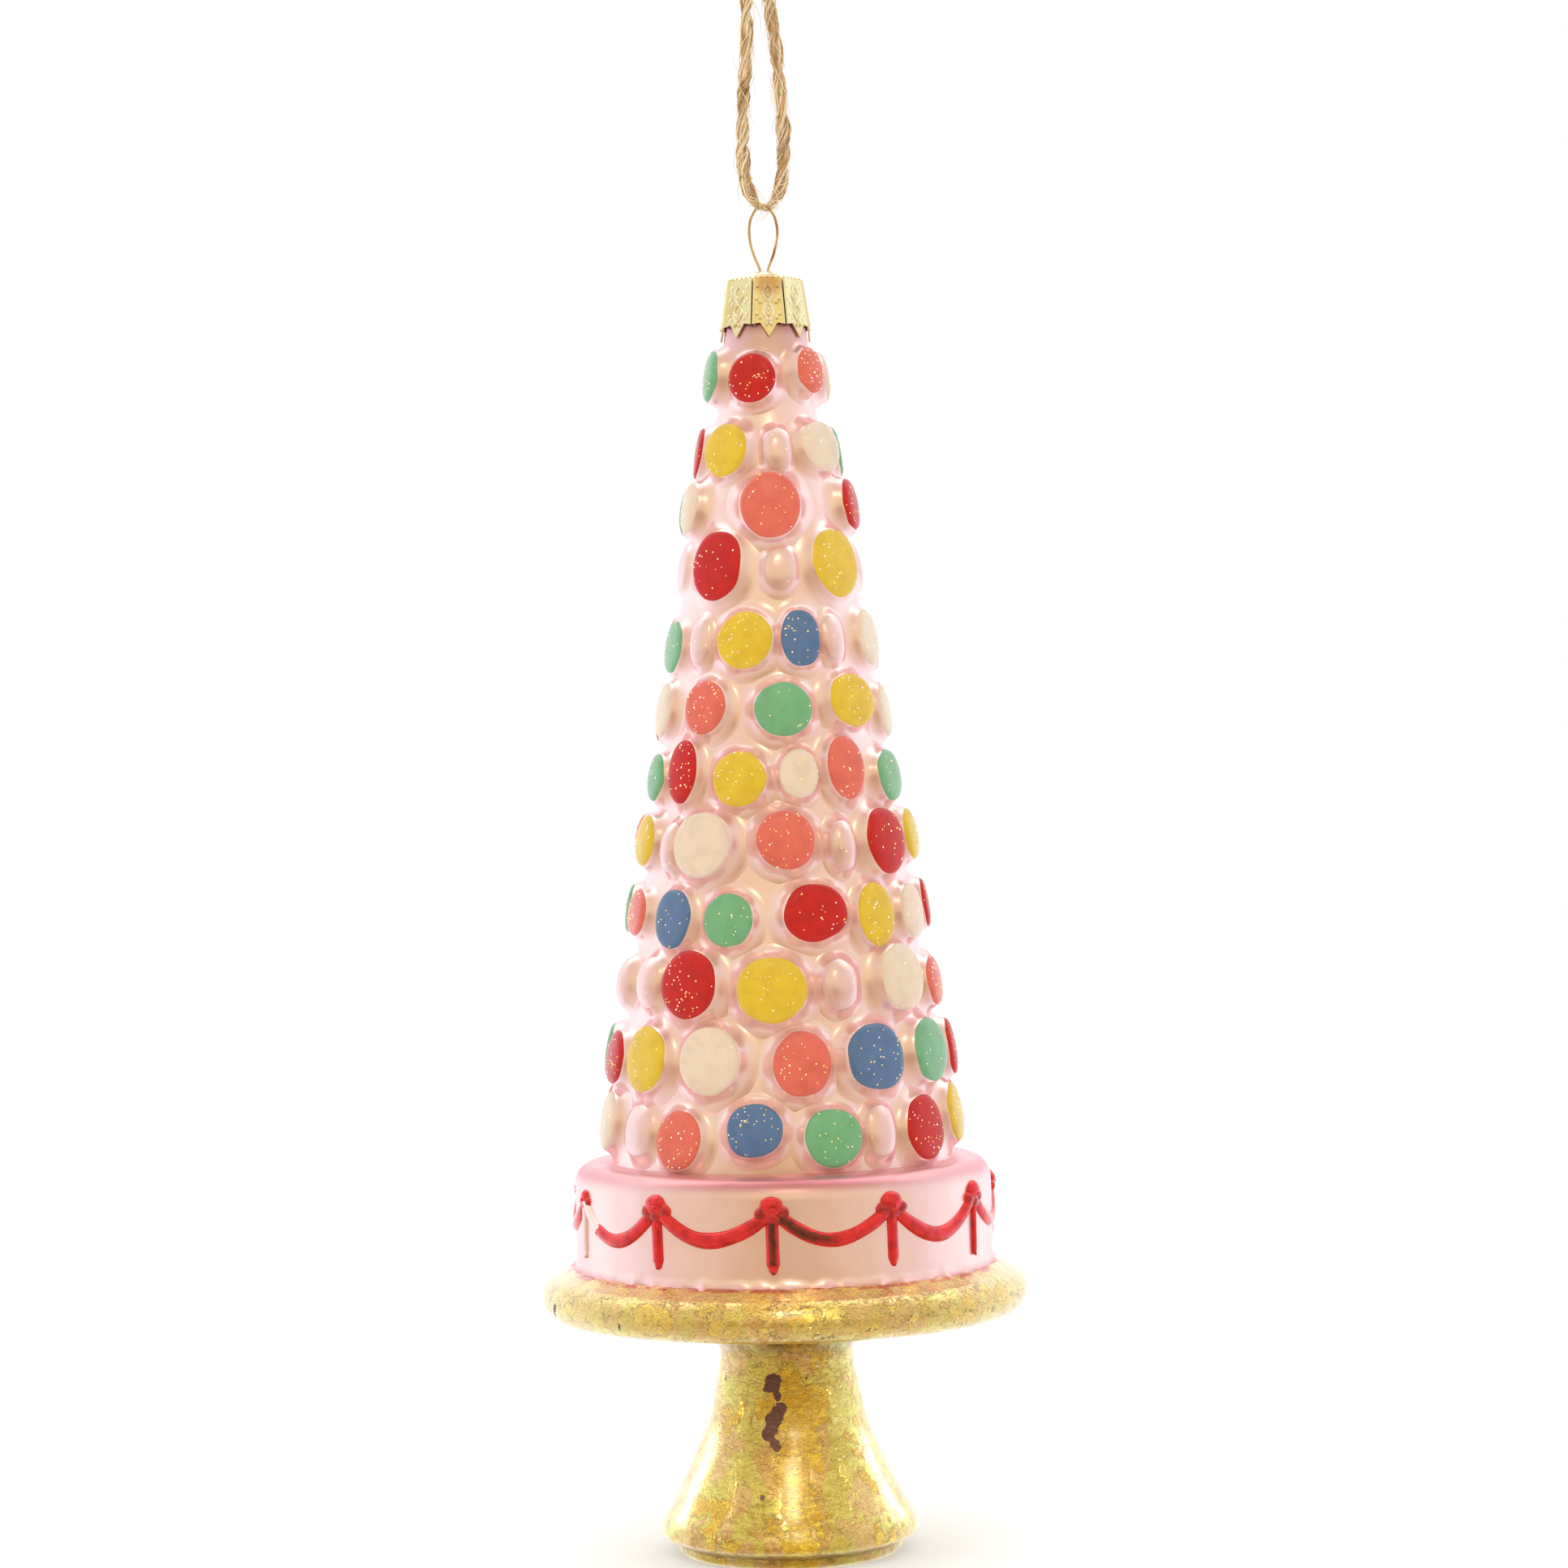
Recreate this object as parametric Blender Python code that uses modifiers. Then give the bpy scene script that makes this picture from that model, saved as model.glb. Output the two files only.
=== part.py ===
"""Mould-blown glass tree ornament: a macaron tower on a footed cake stand.

Metres, +Z up.  The ornament stands on its foot at the origin and its front faces -Y.
Azimuths are in degrees from the front, positive towards +X.
"""

import math

import bmesh
import bpy
from mathutils import Matrix, Vector

MM = 0.001

# ---------------------------------------------------------------- driving dimensions
PLATE_RADIUS = 30.9 * MM
PLATE_TOP = 36.4 * MM
PLATE_RIM = 32.8 * MM
PLATE_EDGE = 2.8 * MM
DRUM_RADIUS = 26.4 * MM
DRUM_TOP = 49.6 * MM
DRUM_EDGE = 2.6 * MM
FOOT_RADIUS = 16.3 * MM
FOOT_RING = 14.3 * MM
STEM_RADIUS = 8.5 * MM
STEM_WAIST = 24.4 * MM
NECK_TOP = 159.9 * MM

STAND_STEPS = 48
TOWER_STEPS = 26

# Bare surface of the tower under the macarons, from the neck down: radius and height.
TOWER_STATIONS = (
    (4.0, 159.9),
    (4.5, 155.3),
    (4.95, 153.4),
    (5.8, 145.0),
    (8.2, 135.5),
    (10.4, 124.5),
    (13.4, 104.0),
    (16.5, 85.0),
    (19.0, 68.0),
    (21.8, 50.0),
    (21.8, 44.0),
)

# Rows of macarons from the top down: the radius that the row's faces reach, then the
# azimuth, height, width and tallness of each macaron on the front half of the mould.
# The back half repeats them half a turn on.
ROWS = (
    (7.9, ((-72, 149.1, 6.2, 6.6), (-15, 148.2, 6.2, 6.2), (51.5, 149.3, 4.9, 5.9))),
    (9.2, ((-82, 139.4, 6.0, 6.6), (-38.5, 139.2, 6.6, 6.9), (8.5, 139.1, 3.8, 5.7),
           (52, 139.6, 7.2, 6.6))),
    (11.4, ((-68, 132.2, 4.6, 6.6), (1, 131.9, 7.5, 8.4), (73, 132.4, 5.4, 6.7))),
    (11.8, ((-80, 124.7, 4.2, 6.0), (-36, 124.5, 7.4, 8.9), (6, 123.9, 4.1, 5.4),
            (46.5, 124.7, 7.8, 8.8))),
    (13.5, ((-71.5, 114.7, 6.4, 6.7), (-45, 115.1, 3.6, 6.0), (-15, 115.0, 7.2, 7.2),
            (16, 115.1, 5.0, 7.1), (37, 115.2, 3.6, 6.0), (69, 115.4, 6.4, 7.2),
            (90, 115.2, 3.8, 5.8))),
    (15.0, ((-72, 106.7, 5.2, 7.0), (-36, 106.8, 6.1, 6.8), (5, 106.3, 7.2, 6.8),
            (43.5, 107.4, 7.4, 6.9), (75, 106.2, 5.0, 6.6))),
    (16.5, ((-69, 98.3, 5.0, 6.1), (-46, 98.9, 4.9, 8.0), (-16, 97.8, 6.9, 7.0),
            (11, 98.3, 4.9, 6.2), (34, 99.0, 5.4, 8.0), (65, 98.0, 6.4, 6.5))),
    (18.2, ((-69, 90.4, 6.0, 6.4), (-50, 89.6, 3.6, 6.0), (-32, 89.8, 8.0, 8.3),
            (4, 90.2, 7.2, 7.4), (29, 89.5, 3.8, 6.1), (51.5, 89.9, 7.4, 8.3),
            (75, 90.6, 5.4, 6.6))),
    (19.2, ((-71, 81.4, 6.6, 6.0), (-44, 80.7, 5.8, 7.4), (-19, 80.5, 6.4, 6.6),
            (14.5, 81.2, 8.1, 7.2), (41, 80.8, 5.8, 8.0), (64.5, 81.0, 6.1, 6.9),
            (86, 81.8, 4.6, 6.2))),
    (20.9, ((-78, 72.6, 4.2, 6.0), (-55, 72.9, 4.8, 6.2), (-33.5, 72.7, 8.0, 8.5),
            (-2.5, 72.0, 8.7, 8.1), (22.5, 72.5, 4.8, 6.2), (49.5, 73.0, 7.9, 8.2),
            (74, 72.1, 5.8, 6.4))),
    (22.3, ((-73, 63.3, 7.0, 6.8), (-50.5, 63.5, 7.2, 8.4), (-24, 63.5, 8.1, 8.3),
            (7, 63.0, 7.1, 8.0), (33, 63.5, 8.0, 8.2), (60, 63.8, 8.0, 8.0),
            (83, 63.6, 5.0, 7.2))),
    (23.2, ((-74, 55.4, 6.2, 7.4), (-53, 54.6, 5.6, 6.4), (-34, 53.8, 6.5, 7.3),
            (-8.5, 55.1, 6.9, 6.4), (16, 54.0, 7.3, 7.1), (33, 54.4, 4.6, 6.4),
            (51.5, 54.4, 7.2, 8.1), (74, 55.6, 6.0, 7.5))),
)
MACARON_SIDES = 10
BARE_WIDTH = 5.5 * MM
BARE_SIDES = 8
MACARON_DOME = 0.9 * MM
MACARON_DEPTH = 4.6 * MM
MACARON_FLARE = 1.3
TOWER_BATTER = math.radians(9.0)

SWAG_COUNT = 11
SWAG_PHASE = -3.2
SWAG_TOP = 45.8 * MM
SWAG_DIP = 4.0 * MM
SWAG_BAND = 0.75 * MM
SWAG_POINTS = 6
ROSETTE_WIDTH = 3.4 * MM
ROSETTE_HEIGHT = 2.7 * MM
DROP_LENGTH = 7.1 * MM
DROP_WIDTH = 1.3 * MM
RELIEF = 0.55 * MM

CAP_PANELS = 8
CAP_PHASE = 5.0
CAP_SHEET = 0.3 * MM
CAP_RIM = 161.0 * MM
CAP_CROWN = 162.2 * MM
CAP_HEM = 155.05 * MM
CAP_TOOTH = 1.5 * MM
CAP_TOOTH_HALF_WIDTH = 0.9 * MM
CAP_TOP_REACH = 4.55 * MM
CAP_HEM_REACH = 5.4 * MM
CAP_SLIT = 0.3 * MM
CAP_HOLE = 1.0 * MM
CROWN_BEND = 0.6
CROWN_BEND_DROP = 0.3 * MM

WIRE_RADIUS = 0.19 * MM
# One leg of the hanger from inside the cap to the top of the arch, in millimetres.
WIRE_LEG = (
    (0.32, 160.4),
    (0.34, 161.6),
    (0.75, 163.0),
    (1.35, 164.6),
    (1.72, 166.2),
    (1.78, 167.6),
    (1.62, 169.2),
    (1.30, 170.5),
    (0.80, 171.5),
    (0.0, 171.9),
)

TWINE_RADIUS = 0.9 * MM
# The loop is pinched to this share of its radius in the wire's eye, over this height.
TWINE_PINCH = 0.42
PINCH_HEIGHT = 4.0 * MM
# Route of the twine loop's middle line from one side of the knot to the other.
TWINE_ROUTE = (
    (-1.00, -0.20, 203.6),
    (-1.25, -0.35, 200.3),
    (-1.50, -0.50, 197.0),
    (-1.62, -0.70, 191.0),
    (-2.20, -1.00, 183.5),
    (-2.40, -1.35, 177.0),
    (-2.00, -1.60, 173.6),
    (-1.10, -1.20, 171.3),
    (0.05, 0.00, 170.55),
    (1.20, 1.20, 171.3),
    (2.40, 1.60, 173.8),
    (2.80, 1.35, 177.2),
    (2.72, 1.00, 183.5),
    (2.10, 0.70, 191.0),
    (1.35, 0.50, 197.0),
    (1.15, 0.35, 200.3),
    (1.00, 0.20, 203.6),
)
ROUTE_STEPS = 2
KNOT_MIDDLE = 206.1 * MM
KNOT_WIDTH = 5.0 * MM
KNOT_THICKNESS = 4.3 * MM
KNOT_HEIGHT = 4.2 * MM
TAIL_FOOT = 0.5 * MM
TAIL_SPREAD = 1.6 * MM
TAIL_LEAN = 0.6 * MM
TAIL_BOW = 0.4 * MM
TAIL_LENGTH = 5.0 * MM


# ---------------------------------------------------------------- helpers
def clear_scene():
    for item in list(bpy.data.objects):
        bpy.data.objects.remove(item, do_unlink=True)


def add_collection(name):
    collection = bpy.data.collections.new(name)
    bpy.context.scene.collection.children.link(collection)
    return collection


def finish_material(name, colour, metallic, roughness):
    material = bpy.data.materials.new(name)
    material.use_nodes = True
    shader = material.node_tree.nodes["Principled BSDF"]
    shader.inputs["Base Color"].default_value = (*colour, 1.0)
    shader.inputs["Metallic"].default_value = metallic
    shader.inputs["Roughness"].default_value = roughness
    return material


def add_mesh(name, shape, collection):
    """Make an object from a bmesh, its faces turned outwards."""
    bmesh.ops.recalc_face_normals(shape, faces=shape.faces)
    mesh = bpy.data.meshes.new(name)
    shape.to_mesh(mesh)
    shape.free()
    item = bpy.data.objects.new(name, mesh)
    collection.objects.link(item)
    return item


def evaluated_mesh(item):
    """The mesh that an object shows, with its modifiers, placed in world space."""
    bpy.context.view_layer.update()
    graph = bpy.context.evaluated_depsgraph_get()
    mesh = bpy.data.meshes.new_from_object(item.evaluated_get(graph))
    mesh.transform(item.matrix_world)
    return mesh


def replace_with_mesh(item, collection):
    """Swap a curve or a modified object for the plain mesh that it shows."""
    name = item.name
    shape = bmesh.new()
    shape.from_mesh(evaluated_mesh(item))
    bmesh.ops.remove_doubles(shape, verts=shape.verts, dist=0.00001)
    bpy.data.objects.remove(item, do_unlink=True)
    return add_mesh(name, shape, collection)


def join_pieces(base, pieces):
    """Fuse every object of a collection onto one base, then drop them."""
    union = base.modifiers.new("fuse", "BOOLEAN")
    union.operation = "UNION"
    union.operand_type = "COLLECTION"
    union.collection = pieces
    union.solver = "EXACT"
    mesh = evaluated_mesh(base)
    base.modifiers.clear()
    base.data = mesh
    for item in list(pieces.objects):
        bpy.data.objects.remove(item, do_unlink=True)
    return base


def turned(name, profile, steps, collection):
    """Turn a profile of (radius, height) points, top to bottom, round the Z axis."""
    mesh = bpy.data.meshes.new(name)
    points = [(radius, 0.0, height) for radius, height in profile]
    edges = [(index, index + 1) for index in range(len(points) - 1)]
    mesh.from_pydata(points, edges, [])
    item = bpy.data.objects.new(name, mesh)
    collection.objects.link(item)
    screw = item.modifiers.new("turn", "SCREW")
    screw.steps = steps
    screw.render_steps = steps
    screw.use_merge_vertices = True
    screw.merge_threshold = 0.00001
    return replace_with_mesh(item, collection)


def tube(name, points, radius, collection, scales=None, resolution=2):
    """A capped round tube along a list of points."""
    curve = bpy.data.curves.new(name, "CURVE")
    curve.dimensions = "3D"
    curve.bevel_depth = radius
    curve.bevel_resolution = resolution
    curve.use_fill_caps = True
    spline = curve.splines.new("POLY")
    spline.points.add(len(points) - 1)
    for index, place in enumerate(points):
        spline.points[index].co = (*place, 1.0)
        if scales:
            spline.points[index].radius = scales[index]
    item = bpy.data.objects.new(name, curve)
    collection.objects.link(item)
    return replace_with_mesh(item, collection)


def arc(middle, radius, start, end, count):
    """Points of a circular arc in a profile, angles in degrees from +X."""
    points = []
    for index in range(count + 1):
        angle = math.radians(start + (end - start) * index / count)
        points.append((middle[0] + radius * math.cos(angle), middle[1] + radius * math.sin(angle)))
    return points


def facing(azimuth, reach, height, batter=0.0):
    """A frame whose +Z looks out of the tower, at a place on it."""
    turn = Matrix.Rotation(math.radians(azimuth), 4, "Z")
    out = Matrix.Rotation(math.radians(90.0) - batter, 4, "X")
    return turn @ Matrix.Translation((0.0, -reach, height)) @ out


def smooth_route(points, steps):
    """Points read from a Catmull-Rom curve through the given ones."""
    route = []
    last = len(points) - 1
    for index in range(last):
        before = Vector(points[max(index - 1, 0)])
        start = Vector(points[index])
        end = Vector(points[index + 1])
        after = Vector(points[min(index + 2, last)])
        for step in range(steps):
            part = step / steps
            route.append(0.5 * (2.0 * start + (end - before) * part
                                + (2.0 * before - 5.0 * start + 4.0 * end - after) * part ** 2
                                + (3.0 * start - before - 3.0 * end + after) * part ** 3))
    route.append(Vector(points[last]))
    return route


# ---------------------------------------------------------------- glass body
def stand_profile():
    """Drum, plate, stem and foot as one outline, from the drum's top to the floor."""
    drum = [(0.0, DRUM_TOP + 0.6 * MM)]
    drum += arc((DRUM_RADIUS - DRUM_EDGE, DRUM_TOP - DRUM_EDGE), DRUM_EDGE, 85, 0, 4)
    plate = [(DRUM_RADIUS, PLATE_TOP)]
    plate += arc((PLATE_RADIUS - PLATE_EDGE, PLATE_RIM), PLATE_EDGE, 80, -80, 5)
    stem = [
        (11.0 * MM, 28.3 * MM),
        (STEM_RADIUS + 0.4 * MM, 26.4 * MM),
        (STEM_RADIUS, STEM_WAIST),
        (9.25 * MM, 20.8 * MM),
        (9.95 * MM, 17.0 * MM),
        (10.9 * MM, 14.5 * MM),
        (12.6 * MM, 10.8 * MM),
        (14.5 * MM, 7.0 * MM),
    ]
    foot = [
        (FOOT_RADIUS - 0.4 * MM, 4.6 * MM),
        (FOOT_RADIUS, 3.3 * MM),
        (FOOT_RADIUS - 0.2 * MM, 2.3 * MM),
        (FOOT_RING, 1.3 * MM),
        (FOOT_RING - 0.1 * MM, 0.5 * MM),
        (FOOT_RING - 0.7 * MM, 0.0),
        (0.0, 0.0),
    ]
    return drum + plate + stem + foot


def tower_profile():
    stations = [(radius * MM, height * MM) for radius, height in TOWER_STATIONS]
    return [(0.0, NECK_TOP)] + stations + [(0.0, stations[-1][1])]


def add_macaron(collection, azimuth, height, reach, width, tall):
    """A short drum with a domed face, flared where it grows out of the glass."""
    bare = width <= BARE_WIDTH
    shape = bmesh.new()
    bmesh.ops.create_cone(shape, cap_ends=True, segments=BARE_SIDES if bare else MACARON_SIDES,
                          radius1=0.5 * MACARON_FLARE, radius2=0.5, depth=1.0)
    face = max(shape.faces, key=lambda side: side.calc_center_median().z)
    bmesh.ops.poke(shape, faces=[face], offset=MACARON_DOME / MACARON_DEPTH)
    bmesh.ops.translate(shape, verts=shape.verts, vec=(0.0, 0.0, -0.5))
    bmesh.ops.scale(shape, verts=shape.verts, vec=(width, tall, MACARON_DEPTH))
    place = facing(azimuth, reach - MACARON_DOME, height, TOWER_BATTER)
    bmesh.ops.transform(shape, matrix=place, verts=shape.verts)
    add_mesh("macaron", shape, collection)


def add_macarons(collection):
    for reach, places in ROWS:
        for azimuth, height, width, tall in places:
            for half in (0.0, 180.0):
                add_macaron(collection, azimuth + half, height * MM, reach * MM, width * MM, tall * MM)


def on_drum(azimuth, height, stand=0.0):
    angle = math.radians(azimuth)
    reach = DRUM_RADIUS + stand
    return Vector((reach * math.sin(angle), -reach * math.cos(angle), height))


def add_swags(collection):
    """Hanging bands between rosettes, with a drop under each rosette."""
    pitch = 360.0 / SWAG_COUNT
    for index in range(SWAG_COUNT):
        azimuth = SWAG_PHASE + index * pitch
        parts = [point / (SWAG_POINTS - 1) for point in range(SWAG_POINTS)]
        route = [on_drum(azimuth + pitch * part, SWAG_TOP - SWAG_DIP * 4.0 * part * (1.0 - part),
                         RELIEF - SWAG_BAND) for part in parts]
        widths = [0.7 + 0.3 * math.sin(math.pi * part) for part in parts]
        tube("swag", route, SWAG_BAND, collection, widths, resolution=1)
        rosette = bmesh.new()
        bmesh.ops.create_cone(rosette, cap_ends=True, segments=8, radius1=0.5, radius2=0.36, depth=2.0)
        bmesh.ops.scale(rosette, verts=rosette.verts,
                        vec=(ROSETTE_WIDTH, ROSETTE_HEIGHT, 1.3 * RELIEF))
        bmesh.ops.transform(rosette, matrix=facing(azimuth, DRUM_RADIUS, SWAG_TOP), verts=rosette.verts)
        add_mesh("rosette", rosette, collection)
        drop = bmesh.new()
        bmesh.ops.create_cone(drop, cap_ends=True, segments=6, radius1=0.38, radius2=0.5, depth=1.0)
        bmesh.ops.scale(drop, verts=drop.verts, vec=(DROP_WIDTH, 2.0 * RELIEF, DROP_LENGTH))
        bmesh.ops.translate(drop, verts=drop.verts,
                            vec=(0.0, -DRUM_RADIUS, SWAG_TOP - 0.5 * DROP_LENGTH))
        bmesh.ops.rotate(drop, verts=drop.verts, matrix=Matrix.Rotation(math.radians(azimuth), 3, "Z"))
        add_mesh("drop", drop, collection)


def build_glass(collection):
    pieces = add_collection("glass pieces")
    turned("tower", tower_profile(), TOWER_STEPS, pieces)
    add_macarons(pieces)
    add_swags(pieces)
    body = turned("glass_body", stand_profile(), STAND_STEPS, collection)
    join_pieces(body, pieces)
    body.data.materials.clear()
    body.data.materials.append(finish_material("pink lacquered glass", (0.93, 0.72, 0.68), 0.6, 0.3))
    return body


# ---------------------------------------------------------------- cap
def add_cap_panel(collection, azimuth):
    """One leaf of the cap: a strip with a pointed tooth, cut from flat sheet."""
    half_turn = math.radians(180.0 / CAP_PANELS)
    top = CAP_TOP_REACH * math.tan(half_turn)
    hem = CAP_HEM_REACH * math.tan(half_turn) - 0.5 * CAP_SLIT
    lean = math.atan2(CAP_HEM_REACH - CAP_TOP_REACH, CAP_RIM - CAP_HEM)
    drop = math.hypot(CAP_HEM_REACH - CAP_TOP_REACH, CAP_RIM - CAP_HEM)
    outline = [
        (top - 0.5 * CAP_SLIT, 0.0),
        (hem, -drop),
        (CAP_TOOTH_HALF_WIDTH, -drop),
        (0.0, -drop - CAP_TOOTH),
        (-CAP_TOOTH_HALF_WIDTH, -drop),
        (-hem, -drop),
        (0.5 * CAP_SLIT - top, 0.0),
    ]
    shape = bmesh.new()
    face = shape.faces.new([shape.verts.new((x, y, -CAP_SHEET)) for x, y in outline])
    grown = bmesh.ops.extrude_face_region(shape, geom=[face])
    lifted = [item for item in grown["geom"] if isinstance(item, bmesh.types.BMVert)]
    bmesh.ops.translate(shape, verts=lifted, vec=(0.0, 0.0, CAP_SHEET))
    bmesh.ops.transform(shape, matrix=facing(azimuth, CAP_TOP_REACH, CAP_RIM, lean), verts=shape.verts)
    add_mesh("leaf", shape, collection)


def crown_profile():
    """The cap's shallow crown, a ring of sheet round the hole for the wire."""
    outer = CAP_TOP_REACH / math.cos(math.radians(180.0 / CAP_PANELS)) - 0.05 * MM
    return [
        (CAP_HOLE, CAP_CROWN),
        (CROWN_BEND * outer, CAP_CROWN - CROWN_BEND_DROP),
        (outer, CAP_RIM + 0.15 * MM),
        (outer, CAP_RIM - 0.55 * MM),
        (outer - CAP_SHEET, CAP_RIM - 0.6 * MM),
        (outer - CAP_SHEET, CAP_RIM - 0.15 * MM),
        (CROWN_BEND * outer, CAP_CROWN - CROWN_BEND_DROP - CAP_SHEET),
        (CAP_HOLE, CAP_CROWN - CAP_SHEET),
        (CAP_HOLE, CAP_CROWN),
    ]


def build_cap(collection):
    leaves = add_collection("cap leaves")
    for index in range(CAP_PANELS):
        add_cap_panel(leaves, CAP_PHASE + index * 360.0 / CAP_PANELS)
    cap = turned("cap", crown_profile(), CAP_PANELS, collection)
    corner = CAP_PHASE + 180.0 / CAP_PANELS
    cap.data.transform(Matrix.Rotation(math.radians(corner), 4, "Z"))
    join_pieces(cap, leaves)
    cap.data.materials.clear()
    cap.data.materials.append(finish_material("gilt cap", (0.80, 0.66, 0.30), 1.0, 0.3))
    return cap


# ---------------------------------------------------------------- hanger wire and twine
def build_wire(collection):
    leg = [Vector((-across * MM, 0.0, height * MM)) for across, height in WIRE_LEG]
    other = [Vector((-place.x, 0.0, place.z)) for place in reversed(leg[:-1])]
    wire = tube("hanger_wire", smooth_route(leg + other, 2), WIRE_RADIUS, collection, resolution=1)
    wire.data.materials.clear()
    wire.data.materials.append(finish_material("brassy wire", (0.72, 0.52, 0.28), 1.0, 0.3))
    return wire


def build_twine(collection):
    route = smooth_route([Vector(place) * MM for place in TWINE_ROUTE], ROUTE_STEPS)
    lowest = min(place.z for place in route)
    scales = [min(1.0, TWINE_PINCH + (place.z - lowest) / PINCH_HEIGHT) for place in route]
    twine = tube("twine", route, TWINE_RADIUS, collection, scales)
    twine.data.materials.clear()
    twine.data.materials.append(finish_material("jute", (0.62, 0.43, 0.27), 0.0, 0.9))
    return twine


def build_knot(collection):
    """The tied ends of the twine: a round knot with two short tails."""
    tails = add_collection("knot tails")
    for side in (-1.0, 1.0):
        foot = Vector((side * TAIL_FOOT, 0.0, KNOT_MIDDLE))
        tip = foot + Vector((side * TAIL_SPREAD, side * TAIL_LEAN, TAIL_LENGTH))
        middle = foot.lerp(tip, 0.5) + Vector((0.0, 0.0, TAIL_BOW))
        tube("tail", [foot, middle, tip], TWINE_RADIUS, tails)
    shape = bmesh.new()
    bmesh.ops.create_uvsphere(shape, u_segments=14, v_segments=9, radius=0.5)
    bmesh.ops.scale(shape, verts=shape.verts, vec=(KNOT_WIDTH, KNOT_THICKNESS, KNOT_HEIGHT))
    bmesh.ops.translate(shape, verts=shape.verts, vec=(0.0, 0.0, KNOT_MIDDLE))
    knot = add_mesh("twine_knot", shape, collection)
    join_pieces(knot, tails)
    knot.data.materials.clear()
    knot.data.materials.append(finish_material("jute knot", (0.62, 0.43, 0.27), 0.0, 0.9))
    return knot


def build_ornament():
    clear_scene()
    ornament = add_collection("macaron tower ornament")
    nodes = [
        build_glass(ornament),
        build_cap(ornament),
        build_wire(ornament),
        build_twine(ornament),
        build_knot(ornament),
    ]
    for item in nodes:
        item.data.shade_smooth()
        item.data.set_sharp_from_angle(angle=math.radians(35.0))
        item.data.calc_loop_triangles()
        print(item.name, len(item.data.loop_triangles), "triangles")


build_ornament()
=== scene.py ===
# %% [markdown]
# # A blown-glass macaron tower for the tree
#
# The real ornament is a bubble of glass, blown into a two-part mould. It is silvered inside,
# sprayed with a pink pearl lacquer, painted by hand with thick enamels and dusted with glitter.
# Its cake stand is covered with metal leaf. A stamped crown cap with a wire eye closes the
# neck, and a loop of jute twine carries it. Each step below adds one of these layers round
# the solid model, which gives every size.
# %% Open the solid model
import random
from math import atan2, cos, exp, hypot, pi, radians, sin, sqrt, tan, tau

import bmesh
import bpy
import numpy as np
from mathutils import Matrix, Vector, noise


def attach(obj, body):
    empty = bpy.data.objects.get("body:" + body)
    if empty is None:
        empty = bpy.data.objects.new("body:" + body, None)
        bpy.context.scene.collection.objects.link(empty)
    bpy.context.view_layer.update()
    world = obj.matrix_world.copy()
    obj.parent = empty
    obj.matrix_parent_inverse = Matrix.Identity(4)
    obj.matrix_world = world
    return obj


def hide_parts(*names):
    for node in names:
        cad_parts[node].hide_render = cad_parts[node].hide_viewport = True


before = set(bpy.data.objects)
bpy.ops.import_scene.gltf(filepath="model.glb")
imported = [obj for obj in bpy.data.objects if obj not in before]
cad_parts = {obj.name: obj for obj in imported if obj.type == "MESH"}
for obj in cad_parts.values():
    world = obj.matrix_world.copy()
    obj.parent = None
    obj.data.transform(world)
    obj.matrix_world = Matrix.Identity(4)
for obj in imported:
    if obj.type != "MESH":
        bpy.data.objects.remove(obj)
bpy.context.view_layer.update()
MM = 0.001
ROOT = "root"
print("solids:", sorted(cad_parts))

# %% [markdown]
# ## The camera
#
# The picture was taken from about half a metre, level with the tower's middle and rolled a little.
# The lens is worked out from a focal length in picture pixels, because that is what the ornament's
# size in the picture gives.
# %% Camera
PICTURE_PIXELS = 1932
FOCAL_PIXELS = 4450
SENSOR_WIDTH = 36.0
EYE = Vector((0.0, -0.46, 0.0936))
YAW = radians(-0.147)
UPWARD_TILT = radians(0.435)
ROLL = radians(1.206)


def add_object(name, data):
    """Put a mesh, a lamp or a camera into the scene."""
    holder = bpy.data.objects.new(name, data)
    bpy.context.scene.collection.objects.link(holder)
    return holder


camera_data = bpy.data.cameras.new("camera")
camera_data.sensor_width = SENSOR_WIDTH
camera_data.lens = SENSOR_WIDTH * FOCAL_PIXELS / PICTURE_PIXELS
camera_data.clip_start = 0.01
camera = add_object("camera", camera_data)
camera.matrix_world = (Matrix.Translation(EYE) @ Matrix.Rotation(YAW, 4, "Z")
                       @ Matrix.Rotation(radians(90) + UPWARD_TILT, 4, "X")
                       @ Matrix.Rotation(-ROLL, 4, "Z"))
bpy.context.scene.camera = camera
print("lens", round(camera_data.lens, 2), "mm")

# %% [markdown]
# ## Shader sums in plain Python
#
# A painted surface is a sum of patterns: a stain here, a little less gloss there. A node graph
# hides such a sum, so a small class wraps a shader socket, and an expression such as 1 - mask adds
# its Math node by itself. One method makes every other node.
# %% Shader helpers
class Value:
    """A number that changes over a surface, such as a mask or a height."""

    def __init__(self, recipe, socket):
        self.recipe = recipe
        self.socket = socket

    def __add__(self, other):
        return self.recipe.calculate("ADD", self, other)

    def __sub__(self, other):
        return self.recipe.calculate("SUBTRACT", self, other)

    def __rsub__(self, other):
        return self.recipe.calculate("SUBTRACT", other, self)

    def __mul__(self, other):
        return self.recipe.calculate("MULTIPLY", self, other)

    __radd__ = __add__
    __rmul__ = __mul__

    def away_from(self, middle):
        return self.recipe.calculate("ABSOLUTE", self - middle)

    def step(self, low, high):
        """0 below low, 1 above high and a smooth rise between. Low may be the larger one."""
        return self.recipe.value("ShaderNodeMapRange", {"interpolation_type": "SMOOTHSTEP"},
                                 {0: self, 1: low, 2: high, 3: 0.0, 4: 1.0})


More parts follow.
